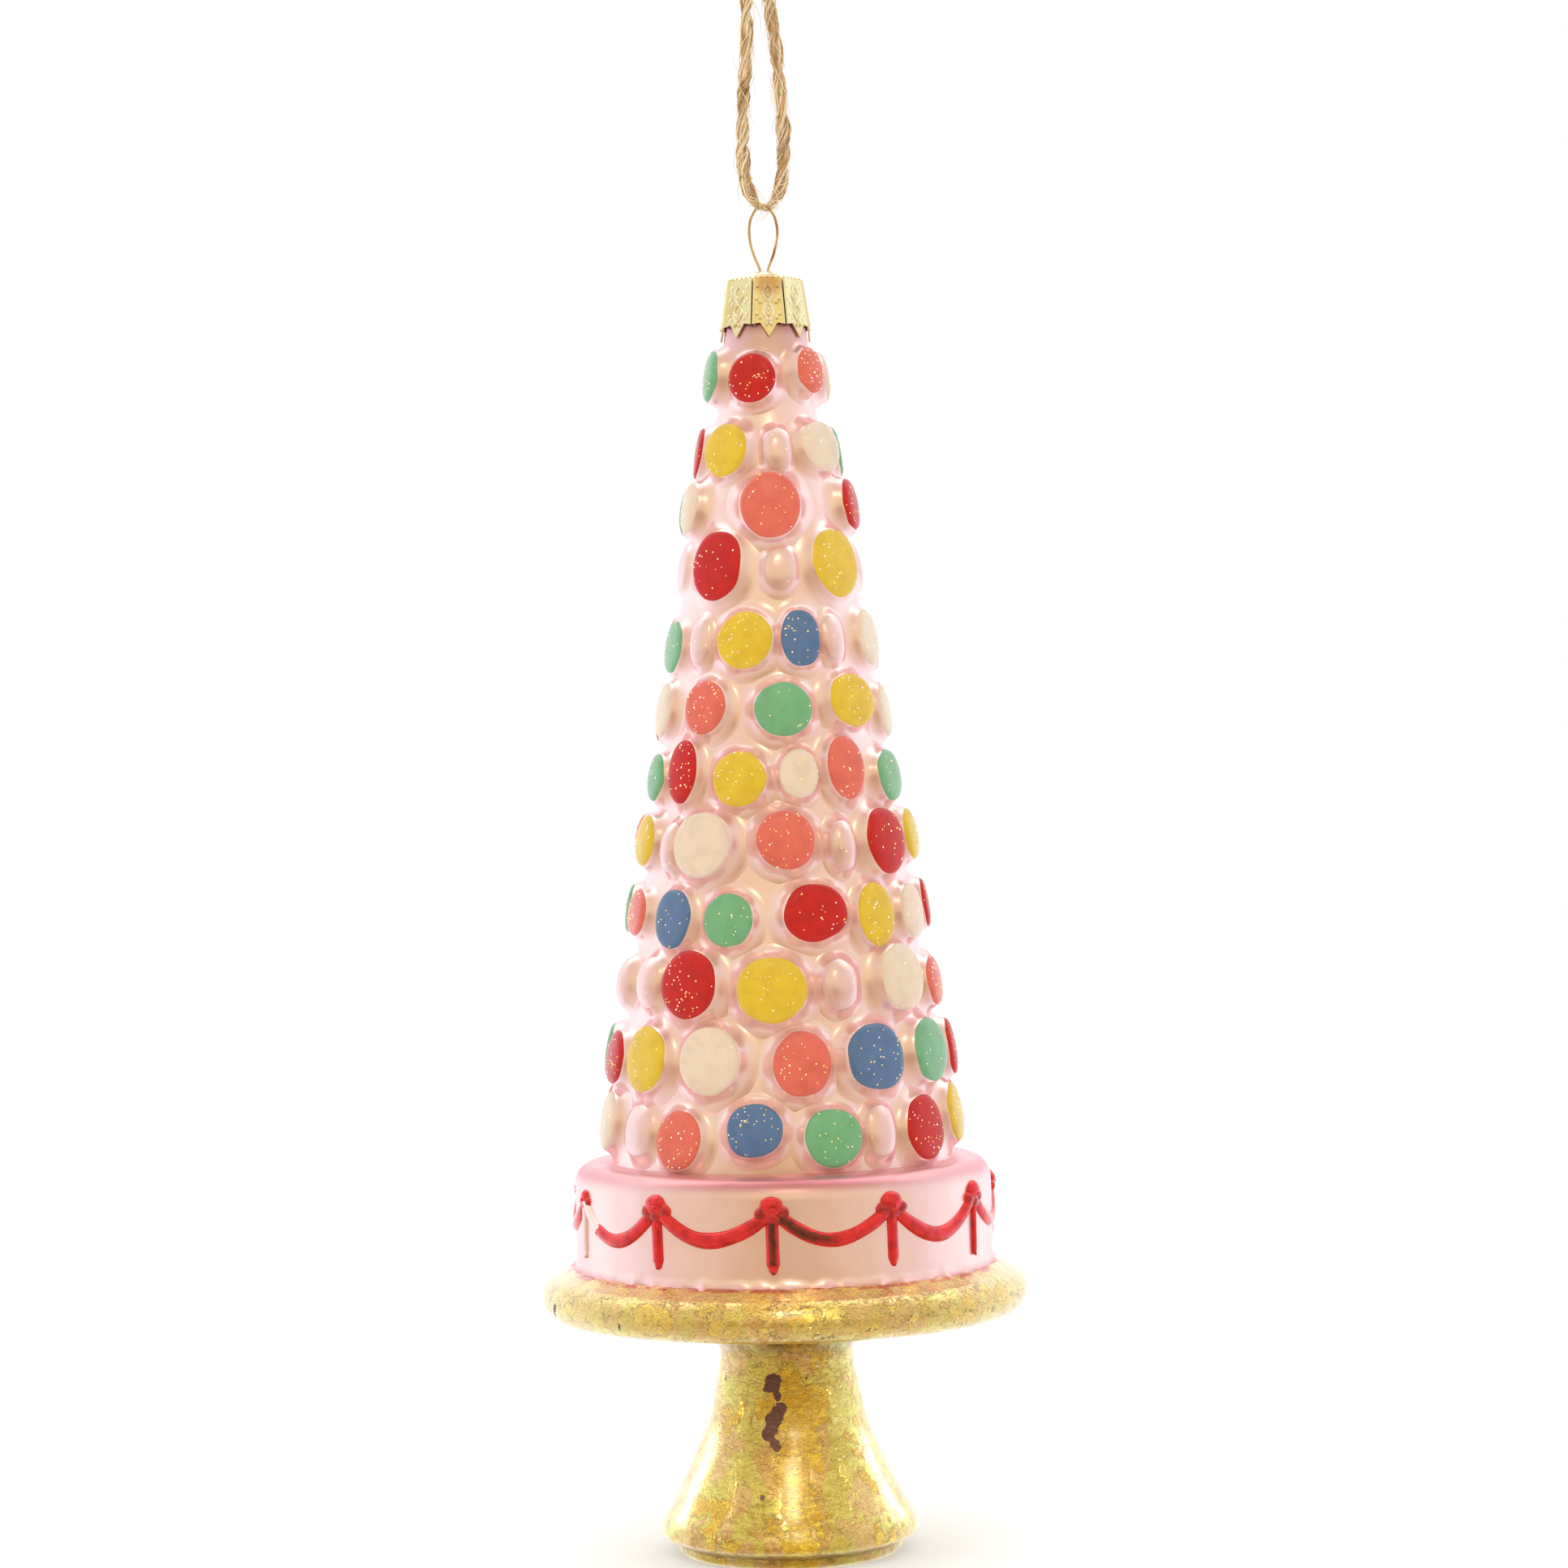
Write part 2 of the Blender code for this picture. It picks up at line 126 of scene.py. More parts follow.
class Recipe:
    """The nodes of one material, or of the world, written as expressions."""

    def __init__(self, owner):
        self.owner = owner
        owner.use_nodes = True
        self.tree = owner.node_tree
        self.tree.nodes.clear()

    def node(self, kind, settings=None, inputs=None):
        made = self.tree.nodes.new(kind)
        for name, setting in (settings or {}).items():
            if name == "stops":
                self.set_stops(made.color_ramp, setting)
            else:
                setattr(made, name, setting)
        for name, item in (inputs or {}).items():
            item = item.socket if isinstance(item, Value) else item
            if isinstance(item, bpy.types.NodeSocket):
                self.tree.links.new(item, made.inputs[name])
            else:
                made.inputs[name].default_value = item
        return made

    def set_stops(self, ramp, stops):
        while len(ramp.elements) < len(stops):
            ramp.elements.new(1.0)
        for element, (place, *colour) in zip(ramp.elements, stops):
            element.position = place
            element.color = (*colour, 1.0)

    def value(self, kind, settings=None, inputs=None, output=0):
        """What a node gives out, as a number for sums."""
        return Value(self, self.node(kind, settings, inputs).outputs[output])

    def calculate(self, operation, *numbers):
        return self.value("ShaderNodeMath", {"operation": operation}, dict(enumerate(numbers)))

    def mix(self, factor, first, second):
        """The second colour over the first. Each is a socket, a colour or a paint chart's code."""
        first, second = [shade(item) if isinstance(item, str) else item for item in (first, second)]
        return self.node("ShaderNodeMix", {"data_type": "RGBA"}, {0: factor, 6: first, 7: second}).outputs[2]

    def coats(self, body, *coats):
        """Lay coats of colour over a body one by one, each by its own mask."""
        for mask, colour in coats:
            body = self.mix(mask, body, colour)
        return body

    def place(self, stretch=(1.0, 1.0, 1.0)):
        """Object coordinates in metres, stretched along one way where a pattern has a grain."""
        source = self.node("ShaderNodeTexCoord").outputs["Object"]
        return self.node("ShaderNodeMapping", {}, {"Vector": source, "Scale": stretch}).outputs[0]

    def grain(self, place, size, detail=2.0, warp=0.0):
        """Soft random patches about as large as size, from 0 to 1."""
        return self.value("ShaderNodeTexNoise", {}, {"Vector": place, "Scale": 1.0 / size,
                                                     "Detail": detail, "Distortion": warp})

    def attribute(self, name):
        return self.value("ShaderNodeAttribute", {"attribute_name": name}, output="Fac")

    def reach(self):
        """Distance from the ornament's axis."""
        flat = self.place((1.0, 1.0, 0.0))
        return self.value("ShaderNodeVectorMath", {"operation": "LENGTH"}, {0: flat}, "Value")

    def coordinate(self, axis):
        """X, Y or Z of the place on the ornament, for axis 0, 1 or 2."""
        return self.value("ShaderNodeSeparateXYZ", {}, {0: self.place()}, axis)

    def near(self, spot, radius):
        """1 in the middle of a soft spot on the ornament and 0 outside it."""
        ends = {0: self.place(), 1: spot}
        far = self.value("ShaderNodeVectorMath", {"operation": "DISTANCE"}, ends, "Value")
        return far.step(1.5 * radius, 0.5 * radius)

    def bump(self, height, depth):
        return self.node("ShaderNodeBump", {}, {"Height": height, "Distance": depth}).outputs[0]

    def surface(self, sockets):
        shader = self.node("ShaderNodeBsdfPrincipled", {}, sockets)
        self.node("ShaderNodeOutputMaterial", {}, {"Surface": shader.outputs[0]})
        return self.owner


def shade(code):
    """A linear colour from the six figures that a paint chart gives."""
    parts = [int(code[at:at + 2], 16) / 255 for at in (0, 2, 4)]
    return (*[part / 12.92 if part < 0.04 else ((part + 0.055) / 1.055) ** 2.4 for part in parts], 1.0)


def new_recipe(name):
    return Recipe(bpy.data.materials.new(name))


# %% [markdown]
# ## Making and placing pieces
#
# Every piece is built where the solid model has it, with its object at the origin, so that a
# pattern on object coordinates stays put. One function turns a finished bmesh into a piece,
# gives it its finish and hides the solid that it stands for.
# %% Piece helpers
SHARP_ANGLE = radians(48)
WELD = 0.001 * MM
STRAND_WELD = 0.0005 * MM


def mesh_of(shape, name):
    """The mesh of a bmesh that is ready."""
    mesh = bpy.data.meshes.new(name)
    shape.to_mesh(mesh)
    shape.free()
    return mesh


def toned_shape():
    """An empty bmesh whose vertices will carry a tone for their finish."""
    shape = bmesh.new()
    shape.verts.layers.float.new("tone")
    return shape


def present(name, shape, material, stands_for=()):
    """Make a piece of the ornament from a bmesh, or from a mesh."""
    mesh = mesh_of(shape, name) if isinstance(shape, bmesh.types.BMesh) else shape
    mesh.materials.append(material)
    mesh.shade_smooth()
    mesh.set_sharp_from_angle(angle=SHARP_ANGLE)
    piece = add_object(name, mesh)
    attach(piece, ROOT)
    if stands_for:
        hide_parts(*stands_for)
    mesh.calc_loop_triangles()
    print(f"{name}: {len(mesh.loop_triangles)} triangles")
    return piece


def turned(profile, steps):
    """Turn a profile of (radius, height) points, top to bottom, into a closed form."""
    shape = bmesh.new()
    points = [shape.verts.new((radius, 0.0, height)) for radius, height in profile]
    edges = [shape.edges.new(pair) for pair in zip(points, points[1:])]
    bmesh.ops.spin(shape, geom=points + edges, cent=(0, 0, 0), axis=(0, 0, 1), angle=tau,
                   steps=steps, use_merge=True)
    bmesh.ops.remove_doubles(shape, verts=shape.verts, dist=WELD)
    bmesh.ops.recalc_face_normals(shape, faces=shape.faces)
    return shape


def arc(middle, radius, start, end, count):
    """Points of a circular arc in a profile, angles in degrees from +X."""
    angles = np.radians(np.linspace(start, end, count + 1))
    return [(middle[0] + radius * cos(angle), middle[1] + radius * sin(angle)) for angle in angles]


def smooth_route(points, steps):
    """Points read from a Catmull-Rom curve through the given ones."""
    route = []
    last = len(points) - 1
    for index in range(last):
        before, start, end, after = [points[min(max(at, 0), last)] for at in range(index - 1, index + 3)]
        for step in range(steps):
            part = step / steps
            route.append(0.5 * (2.0 * start + (end - before) * part
                                + (2.0 * before - 5.0 * start + 4.0 * end - after) * part ** 2
                                + (3.0 * start - before - 3.0 * end + after) * part ** 3))
    return route + [points[last].copy()]


def evenly(profile, gap):
    """The same profile with points about a gap apart, so that it can carry fine relief."""
    points = np.array(profile)
    runs = np.concatenate([[0.0], np.cumsum(np.linalg.norm(np.diff(points, axis=0), axis=1))])
    stops = np.linspace(0.0, runs[-1], int(runs[-1] / gap) + 1)
    return list(zip(np.interp(stops, runs, points[:, 0]), np.interp(stops, runs, points[:, 1])))


def facing(azimuth, reach, height, batter=0.0):
    """A frame whose +Z looks out of the ornament, at a place on it. Azimuth in degrees."""
    turn = Matrix.Rotation(radians(azimuth), 4, "Z")
    out = Matrix.Rotation(radians(90.0) - batter, 4, "X")
    return turn @ Matrix.Translation((0.0, -reach, height)) @ out


def add_strand(shape, points, radii, sides=4, tone=None):
    """Add a round strand with closed ends, and mark its vertices with a tone."""
    curve = bpy.data.curves.new("strand", "CURVE")
    curve.dimensions = "3D"
    curve.bevel_depth = 1.0
    curve.bevel_resolution = (sides - 4) // 2
    curve.use_fill_caps = True
    spline = curve.splines.new("POLY")
    spline.points.add(len(points) - 1)
    for point, place, radius in zip(spline.points, points, radii):
        point.co = (*place, 1.0)
        point.radius = radius
    holder = bpy.data.objects.new("strand", curve)
    mesh = bpy.data.meshes.new_from_object(holder)
    first = len(shape.verts)
    shape.from_mesh(mesh)
    if tone is not None:
        layer = shape.verts.layers.float["tone"]
        shape.verts.ensure_lookup_table()
        for index in range(first, len(shape.verts)):
            shape.verts[index][layer] = tone
    bpy.data.objects.remove(holder)
    bpy.data.curves.remove(curve)
    bpy.data.meshes.remove(mesh)


def close_strands(shape):
    """Weld the end caps of every strand and turn the faces outwards."""
    bmesh.ops.remove_doubles(shape, verts=shape.verts, dist=STRAND_WELD)
    bmesh.ops.recalc_face_normals(shape, faces=shape.faces)
    return shape


# %% [markdown]
# ## The jute twine
#
# Jute twine is two plies of loose fibres, twisted round each other every 8.5 mm. A tube with a
# twisted bump would keep an edge as straight as a pipe's, so the twine is laid up like the real
# one: each fibre winds round its ply, and each ply round the twine. The route is the solid model's
# own, pinched where the loop hangs in the wire eye.
# %% Twine route
TWINE_RADIUS = 0.9 * MM
TWINE_PINCH = 0.5
PINCH_HEIGHT = 3.5 * MM
TWINE_ROUTE = (
    (-1.00, -0.20, 203.6), (-1.25, -0.35, 200.3), (-1.50, -0.50, 197.0), (-1.62, -0.70, 191.0),
    (-2.20, -1.00, 183.5), (-2.40, -1.35, 177.0), (-2.00, -1.60, 173.6), (-1.10, -1.20, 171.3),
    (0.05, 0.00, 170.55), (1.20, 1.20, 171.3), (2.40, 1.60, 173.8), (2.80, 1.35, 177.2),
    (2.72, 1.00, 183.5), (2.10, 0.70, 191.0), (1.35, 0.50, 197.0), (1.15, 0.35, 200.3), (1.00, 0.20, 203.6),
)
route = smooth_route([Vector(place) * MM for place in TWINE_ROUTE], 12)
route_length = sum((after - before).length for before, after in zip(route, route[1:]))
lowest = min(place.z for place in route)
pinches = [min(1.0, TWINE_PINCH + (place.z - lowest) / PINCH_HEIGHT) for place in route]
print("twine", round(route_length / MM, 1), "mm")


# %% Lay the fibres
PLIES = 2
PLY_PITCH = 8.5 * MM
FIBRE_PITCH = 21.0 * MM
TWIST_WAVE = 3.4 * MM
FIBRES_IN_PLY = 17
PLY_AT = 0.37
FIBRE_AT = 0.53
GOLDEN_ANGLE = radians(137.5)


def frames_along(points):
    """Two crossways directions at each point, carried along without twisting."""
    side = Vector((0.0, 1.0, 0.0))
    frames = []
    for index in range(len(points)):
        ahead = (points[min(index + 1, len(points) - 1)] - points[max(index - 1, 0)]).normalized()
        side = (side - side.dot(ahead) * ahead).normalized()
        frames.append((side, ahead.cross(side)))
    return frames


def lay_twine(shape, points, radius, fibres, draw, scales=None):
    """Wind fibres into plies and plies into a twine along a line of points."""
    scales = scales or [1.0] * len(points)
    frames = frames_along(points)
    runs = [0.0]
    for before, after in zip(points, points[1:]):
        runs.append(runs[-1] + (after - before).length)
    for ply in range(PLIES):
        for fibre in range(fibres):
            spread = sqrt((fibre + 0.6) / fibres)
            start = fibre * GOLDEN_ANGLE + draw.uniform(-0.3, 0.3)
            thick = radius * draw.uniform(0.12, 0.21)
            wander = draw.uniform(0, tau)
            slack = draw.uniform(0.9, 1.6) * MM
            line = []
            for place, (side, over), run, scale in zip(points, frames, runs, scales):
                uneven = 0.55 * sin(run / TWIST_WAVE) + 0.35 * sin(run / (0.43 * TWIST_WAVE) + 1.0)
                turn = tau * (run / PLY_PITCH + ply / PLIES) + uneven
                spin = start - tau * run / FIBRE_PITCH
                loose = 1.0 + 0.26 * sin(run / slack + wander)
                full = radius * scale * (1.0 + 0.09 * sin(run / (0.7 * TWIST_WAVE) + 2.0))
                ply_at = PLY_AT * full
                fibre_at = FIBRE_AT * full * spread * loose
                across = ply_at * cos(turn) + fibre_at * cos(spin + turn)
                along = ply_at * sin(turn) + fibre_at * sin(spin + turn)
                line.append(place + side * across + over * along)
            add_strand(shape, line, [thick * max(scale, 0.55) for scale in scales], tone=draw.random())


def jute_recipe():
    """Matt tan fibre, each strand a tone of its own, with darker streaks along the twine."""
    jute = new_recipe("jute_fibre")
    tone = jute.attribute("tone")
    streak = jute.grain(jute.place((1.0, 1.0, 0.16)), 0.5 * MM, 3.0)
    body = jute.coats(jute.mix(tone.step(0.05, 0.95), "A98050", "F0DAB4"),
                      ((streak - 0.15 * tone).step(0.42, 0.62), "D9B07A"),
                      (jute.grain(jute.place(), 1.4 * MM, 2.0).step(0.62, 0.78), "9C7444"))
    return jute.surface({"Base Color": body, "Roughness": 0.85, "Sheen Weight": 0.25,
                         "Sheen Roughness": 0.5, "Specular IOR Level": 0.25,
                         "Normal": jute.bump(streak, 0.05 * MM)})


jute_finish = jute_recipe()
draw = random.Random(11)
twine_shape = toned_shape()
lay_twine(twine_shape, route, TWINE_RADIUS, FIBRES_IN_PLY, draw, pinches)
twine = present("jute_twine", close_strands(twine_shape), jute_finish, ["twine"])

# %% [markdown]
# ## The knot and the stray hairs
#
# An overhand knot closes the loop. A trefoil curve is that knot with its ends joined, so one turn
# of it, squashed into the solid knot's box, gives the crossing strands. Two tails stand out of its
# top and two throats lead down into the loop. Stray fibres stick out all along the twine, as
# hair-thin bent strands.
# %% Knot
KNOT_MIDDLE = Vector((0.0, 0.0, 206.1)) * MM
KNOT_REACH = Vector((0.62, 0.50, 1.05)) * MM
KNOT_STRAND = 0.72 * MM
KNOT_FIBRES = 12
TREFOIL_STEPS = 90
TAIL_FOOT = Vector((0.5, 0.0, -0.6)) * MM
TAIL_TIP = Vector((1.9, 0.7, 4.6)) * MM
TAIL_BEND = Vector((0.25, 0.0, 0.0)) * MM
LOOP_END = Vector((1.0, 0.2, -3.2)) * MM
THROAT_TOP = Vector((0.55, 0.1, -0.2)) * MM

knot_route = []
for step in range(TREFOIL_STEPS + 1):
    turn = tau * step / TREFOIL_STEPS
    swing = 2.0 + cos(3.0 * turn)
    place = Vector((swing * cos(2.0 * turn), swing * sin(2.0 * turn), sin(3.0 * turn)))
    knot_route.append(KNOT_MIDDLE + place * KNOT_REACH)
knot_lines = [knot_route]
for way in (Matrix.Rotation(pi, 3, "Z"), Matrix.Identity(3)):
    foot, tip, bend, end, top = [KNOT_MIDDLE + way @ place for place in (
        TAIL_FOOT, TAIL_TIP, TAIL_FOOT.lerp(TAIL_TIP, 0.55) + TAIL_BEND, LOOP_END, THROAT_TOP)]
    knot_lines += [smooth_route([foot, bend, tip], 10), smooth_route([end, top], 12)]
knot_shape = toned_shape()
for line in knot_lines:
    lay_twine(knot_shape, line, KNOT_STRAND, KNOT_FIBRES, draw)
knot = present("jute_knot", close_strands(knot_shape), jute_finish, ["twine_knot"])

# %% Stray hairs
HAIRS = 230
HAIR_RADIUS = 0.032 * MM
HAIR_STEPS = 8
WRAPS = 34
WRAP_STEPS = 16
WRAP_RADIUS = 0.05 * MM
WRAP_REACH = 0.94 * TWINE_RADIUS
HAIR_ROOT = 0.55 * TWINE_RADIUS

hair_shape = toned_shape()
route_frames = frames_along(route)


def out_of_route(index, turn):
    """The way out of the twine at a point of its route, turned about it."""
    side, over = route_frames[index]
    return side * cos(turn) + over * sin(turn)


for hair in range(HAIRS):
    at = draw.randrange(6, len(route) - 6)
    out = out_of_route(at, draw.uniform(0, tau))
    ahead = (route[at + 3] - route[at - 3]).normalized() * draw.choice((-1, 1))
    length = draw.uniform(1.2, 4.2) * MM * pinches[at]
    lift = draw.uniform(0.15, 0.55)
    curl = draw.uniform(-0.9, 0.9)
    start = route[at] + out * HAIR_ROOT * pinches[at]
    bend = out.cross(ahead) * curl
    line = []
    for step in range(HAIR_STEPS + 1):
        part = step / HAIR_STEPS
        away = out * lift * part * (1.6 - part)
        line.append(start + (ahead * part + away + bend * part ** 2 * 0.5) * length)
    thick = HAIR_RADIUS * draw.uniform(0.7, 1.2)
    radii = [thick * (1.0 - 0.5 * step / HAIR_STEPS) for step in range(HAIR_STEPS + 1)]
    add_strand(hair_shape, line, radii, tone=draw.uniform(0.6, 1.0))
for wrap in range(WRAPS):
    first = draw.randrange(4, len(route) - WRAP_STEPS - 6)
    turn = draw.uniform(0, tau)
    pitch = draw.choice((-1, 1)) * draw.uniform(4.0, 9.0) * MM
    line = []
    for index in range(first, first + WRAP_STEPS):
        angle = turn + tau * (index - first) * route_length / len(route) / pitch
        line.append(route[index] + out_of_route(index, angle) * WRAP_REACH * pinches[index])
    add_strand(hair_shape, line, [WRAP_RADIUS] * len(line), tone=1.0)
hairs = present("jute_hairs", close_strands(hair_shape), jute_finish)

# %% [markdown]
# ## Where the macarons sit
#
# The mould presses twelve rows of macarons into the cone. A row lists the radius that its faces
# reach, and the azimuth, height, width, tallness and paint of each macaron on the front half. The
# back half is the same half a turn on, with the colours shifted. Some bumps are left bare.
# %% Rows of macarons
# A row's reach, then azimuth in degrees, height, width and tallness in mm, and paint.
ROWS = (
    (7.9, ((-76, 149.1, 5.6, 6.6, "green"), (-15, 148.2, 6.2, 6.2, "red"), (51.5, 149.3, 4.9, 5.9, "coral"))),
    (9.2, ((-84, 139.4, 5.0, 6.6, "red"), (-38.5, 139.2, 6.6, 6.9, "yellow"), (8.5, 139.1, 3.8, 5.7, "bare"),
           (52, 139.6, 7.2, 6.6, "cream"))),
    (11.4, ((-68, 132.2, 4.6, 6.6, "cream"), (1, 131.9, 7.5, 8.4, "coral"), (73, 132.4, 5.4, 6.7, "red"))),
    (11.8, ((-80, 124.7, 4.2, 6.0, "bare"), (-36, 124.5, 7.4, 8.9, "red"), (6, 123.9, 4.1, 5.4, "bare"),
            (46.5, 124.7, 7.8, 8.8, "yellow"))),
    (13.5, ((-71.5, 114.7, 6.4, 6.7, "green"), (-45, 115.1, 3.6, 6.0, "bare"),
            (-15, 115.0, 7.2, 7.2, "yellow"), (16, 115.1, 5.0, 7.1, "blue"), (37, 115.2, 3.6, 6.0, "bare"),
            (69, 115.4, 6.4, 7.2, "cream"), (90, 115.2, 3.8, 5.8, "bare"))),
    (15.0, ((-72, 106.7, 5.2, 7.0, "cream"), (-36, 106.8, 6.1, 6.8, "coral"), (5, 106.3, 7.2, 6.8, "green"),
            (43.5, 107.4, 7.4, 6.9, "yellow"), (75, 106.2, 5.0, 6.6, "cream"))),
    (16.5, ((-69, 98.3, 5.0, 6.1, "green"), (-46, 98.9, 4.9, 8.0, "red"), (-16, 97.8, 6.9, 7.0, "yellow"),
            (11, 98.3, 4.9, 6.2, "cream"), (34, 99.0, 5.4, 8.0, "coral"), (65, 98.0, 6.4, 6.5, "green"))),
    (18.2, ((-69, 90.4, 6.0, 6.4, "yellow"), (-50, 89.6, 3.6, 6.0, "bare"), (-32, 89.8, 8.0, 8.3, "cream"),
            (4, 90.2, 7.2, 7.4, "coral"), (29, 89.5, 3.8, 6.1, "bare"), (51.5, 89.9, 7.4, 8.3, "red"),
            (75, 90.6, 5.4, 6.6, "yellow"))),
    (19.2, ((-71, 81.4, 6.6, 6.0, "coral"), (-44, 80.7, 5.8, 7.4, "blue"), (-19, 80.5, 6.4, 6.6, "green"),
            (14.5, 81.2, 8.1, 7.2, "red"), (41, 80.8, 5.8, 8.0, "yellow"), (64.5, 81.0, 6.1, 6.9, "cream"),
            (86, 81.8, 4.6, 6.2, "red"))),
    (20.9, ((-78, 72.6, 4.2, 6.0, "bare"), (-55, 72.9, 4.8, 6.2, "bare"), (-33.5, 72.7, 8.0, 8.5, "red"),
            (-2.5, 72.0, 8.7, 8.1, "yellow"), (22.5, 72.5, 4.8, 6.2, "bare"), (49.5, 73.0, 7.9, 8.2, "cream"),
            (74, 72.1, 5.8, 6.4, "coral"))),
    (22.3, ((-73, 63.3, 7.0, 6.8, "red"), (-50.5, 63.5, 7.2, 8.4, "yellow"), (-24, 63.5, 8.1, 8.3, "cream"),
            (7, 63.0, 7.1, 8.0, "coral"), (33, 63.5, 8.0, 8.2, "blue"), (60, 63.8, 8.0, 8.0, "green"),
            (83, 63.6, 5.0, 7.2, "red"))),
    (23.2, ((-74, 55.4, 6.2, 7.4, "cream"), (-53, 54.6, 5.6, 6.4, "bare"), (-34, 53.8, 6.5, 7.3, "coral"),
            (-8.5, 55.1, 6.9, 6.4, "blue"), (16, 54.0, 7.3, 7.1, "green"), (33, 54.4, 4.6, 6.4, "bare"),
            (51.5, 54.4, 7.2, 8.1, "red"), (74, 55.6, 6.0, 7.5, "yellow"))),
)
PAINTS = ("red", "yellow", "green", "coral", "cream", "blue")
TOWER_BATTER = radians(9.0)
SMALL_ROW = 10.0
SMALL_ROW_FOOT = 1.6
FOOT = 1.35

macarons = []
for reach, places in ROWS:
    for half, shift in ((0.0, 0), (180.0, 2)):
        for azimuth, height, width, tall, paint in places:
            if paint != "bare":
                paint = PAINTS[(PAINTS.index(paint) + shift) % len(PAINTS)]
            macarons.append({
                "azimuth": radians(azimuth + half),
                "height": height * MM,
                "half_width": 0.5 * width * MM,
                "half_tall": 0.5 * tall * MM,
                "frame": np.array(facing(azimuth + half, reach * MM, height * MM, TOWER_BATTER)),
                "paint": paint,
                "tight": SMALL_ROW_FOOT if reach < SMALL_ROW else FOOT,
            })
print(len(macarons), "macarons")

# %% [markdown]
# ## The blown cone
#
# Hot glass never takes a sharp corner, so between the macarons it is drawn up a little towards each
# of them. A boolean would leave hard creases there. Instead one function says how far the skin lies
# from the axis, with a soft swell round every macaron. The cone and the feet of the macarons both
# use it, so that they meet without a step.
# %% Glass skin
# Radius and height of the skin, from the neck down, in mm.
TOWER_STATIONS = (
    (4.0, 159.9), (4.35, 157.6), (4.95, 155.4), (5.15, 153.6), (5.8, 145.0), (8.2, 135.5),
    (10.4, 124.5), (13.4, 104.0), (16.5, 85.0), (19.0, 68.0), (21.8, 50.0), (21.8, 44.0),
)
# Heights in mm on the neck under the cap, and how strong the painted shade of the cap is at each.
NECK_HEIGHTS = (149.5, 152.0, 153.8, 155.2)
NECK_SHADES = (0.0, 0.30, 0.42, 0.85)
SWELL = 0.34 * MM
SWELL_SPREAD = 1.5
WAVER = 0.07 * MM

stations = smooth_route([Vector(station) * MM for station in TOWER_STATIONS], 8)
station_radii, station_heights = np.array(stations[::-1]).T


def skin_radius(azimuth, height):
    """How far the glass skin is from the axis, for arrays of azimuths and heights."""
    bare = np.interp(height, station_heights, station_radii)
    near = np.zeros_like(bare)
    for macaron in macarons:
        turn = (azimuth - macaron["azimuth"] + pi) % tau - pi
        across = turn * bare / macaron["half_width"]
        along = (height - macaron["height"]) / macaron["half_tall"]
        near += np.exp(-(across ** 2 + along ** 2) / SWELL_SPREAD ** 2)
    waver = np.sin(3.0 * azimuth + height / (9.0 * MM)) * np.sin(height / (6.0 * MM) + 1.3)
    return bare + SWELL * (1.0 - np.exp(-1.3 * near)) + WAVER * waver


def neck_shade(heights):
    """How strong the painted shade under the cap is on the neck, for an array of heights."""
    return np.interp(heights / MM, NECK_HEIGHTS, NECK_SHADES)


def mesh_points(mesh):
    points = np.empty(len(mesh.vertices) * 3)
    mesh.vertices.foreach_get("co", points)
    return points.reshape(-1, 3)


def set_points(mesh, points):
    mesh.vertices.foreach_set("co", points.astype(np.float32).ravel())
    mesh.update()


def set_shade_and_lacquer(mesh, shade_masks):
    """Store at every vertex how deep a rose the finish gives it: painted shade, and along the drum's hem
    partly the lacquer's own edge.
    """
    pooled = mesh.attributes.new("pooled", "FLOAT", "POINT")
    pooled.data.foreach_set("value", shade_masks.astype(np.float32))


def polar(points):
    """Azimuths of an array of points, and their distances from the axis."""
    return np.arctan2(points[:, 0], -points[:, 1]), np.hypot(points[:, 0], points[:, 1])


SKIN_STEPS = 280
SKIN_GAP = 0.42 * MM
AXIS_GAP = 1.0 * MM
SKIN_TOP = (0.0, 159.6 * MM)
SKIN_FOOT = (0.0, 44.0 * MM)
skin_profile = [SKIN_TOP] + evenly(stations, SKIN_GAP) + [SKIN_FOOT]
skin_mesh = mesh_of(turned(skin_profile, SKIN_STEPS), "tower_glass")
points = mesh_points(skin_mesh)
azimuths, reaches = polar(points)
drawn = skin_radius(azimuths, points[:, 2]) / np.interp(points[:, 2], station_heights, station_radii)
open_skin = reaches > AXIS_GAP
points[open_skin, :2] *= drawn[open_skin, None]
set_points(skin_mesh, points)
set_shade_and_lacquer(skin_mesh, neck_shade(points[:, 2]))

# %% [markdown]
# ## Pearl lacquer over silvered glass
#
# The tower's skin is a mirror seen through frosted pink lacquer: it gathers the light of the
# room like metal but blurs it like wax. A mostly metallic shader with a pink base and a broad
# gloss does this. A vertex attribute makes it a deeper rose where shade is painted: in the creases
# round the macarons, on the bare bumps, on the neck under the cap and along the drum's top edge.
# Along the hem it is partly the lacquer's own edge and partly a painted contact shadow.
# %% Pink glass finish
def pink_glass_recipe(name, rough, pool=None):
    """Frosted pink pearl. Pool is the deeper rose where the mesh's pooled attribute is 1: painted shade, and
    at the drum's hem partly lacquer.
    """
    pink = new_recipe(name)
    cloud = pink.grain(pink.place(), 6.0 * MM, 2.0)
    body = pink.mix(cloud.step(0.35, 0.7), "FADDD8", "F7D6CF")
    if pool:
        body = pink.mix(pink.attribute("pooled"), body, pool)
    return pink.surface({"Base Color": body, "Metallic": 0.76, "Roughness": rough + 0.05 * cloud,
                         "Specular IOR Level": 0.3, "Specular Tint": (0.97, 0.77, 0.86, 1.0),
                         "Normal": pink.bump(cloud, 0.2 * MM)})


# The deeper rose on the skin and on the macaron walls is painted shade.
skin_finish = pink_glass_recipe("pink_pearl_glass", 0.25, "A8606C")
wall_finish = pink_glass_recipe("pink_pearl_macaron_walls", 0.22, "A8606C")
present("tower_glass", skin_mesh, skin_finish, ["glass_body"])

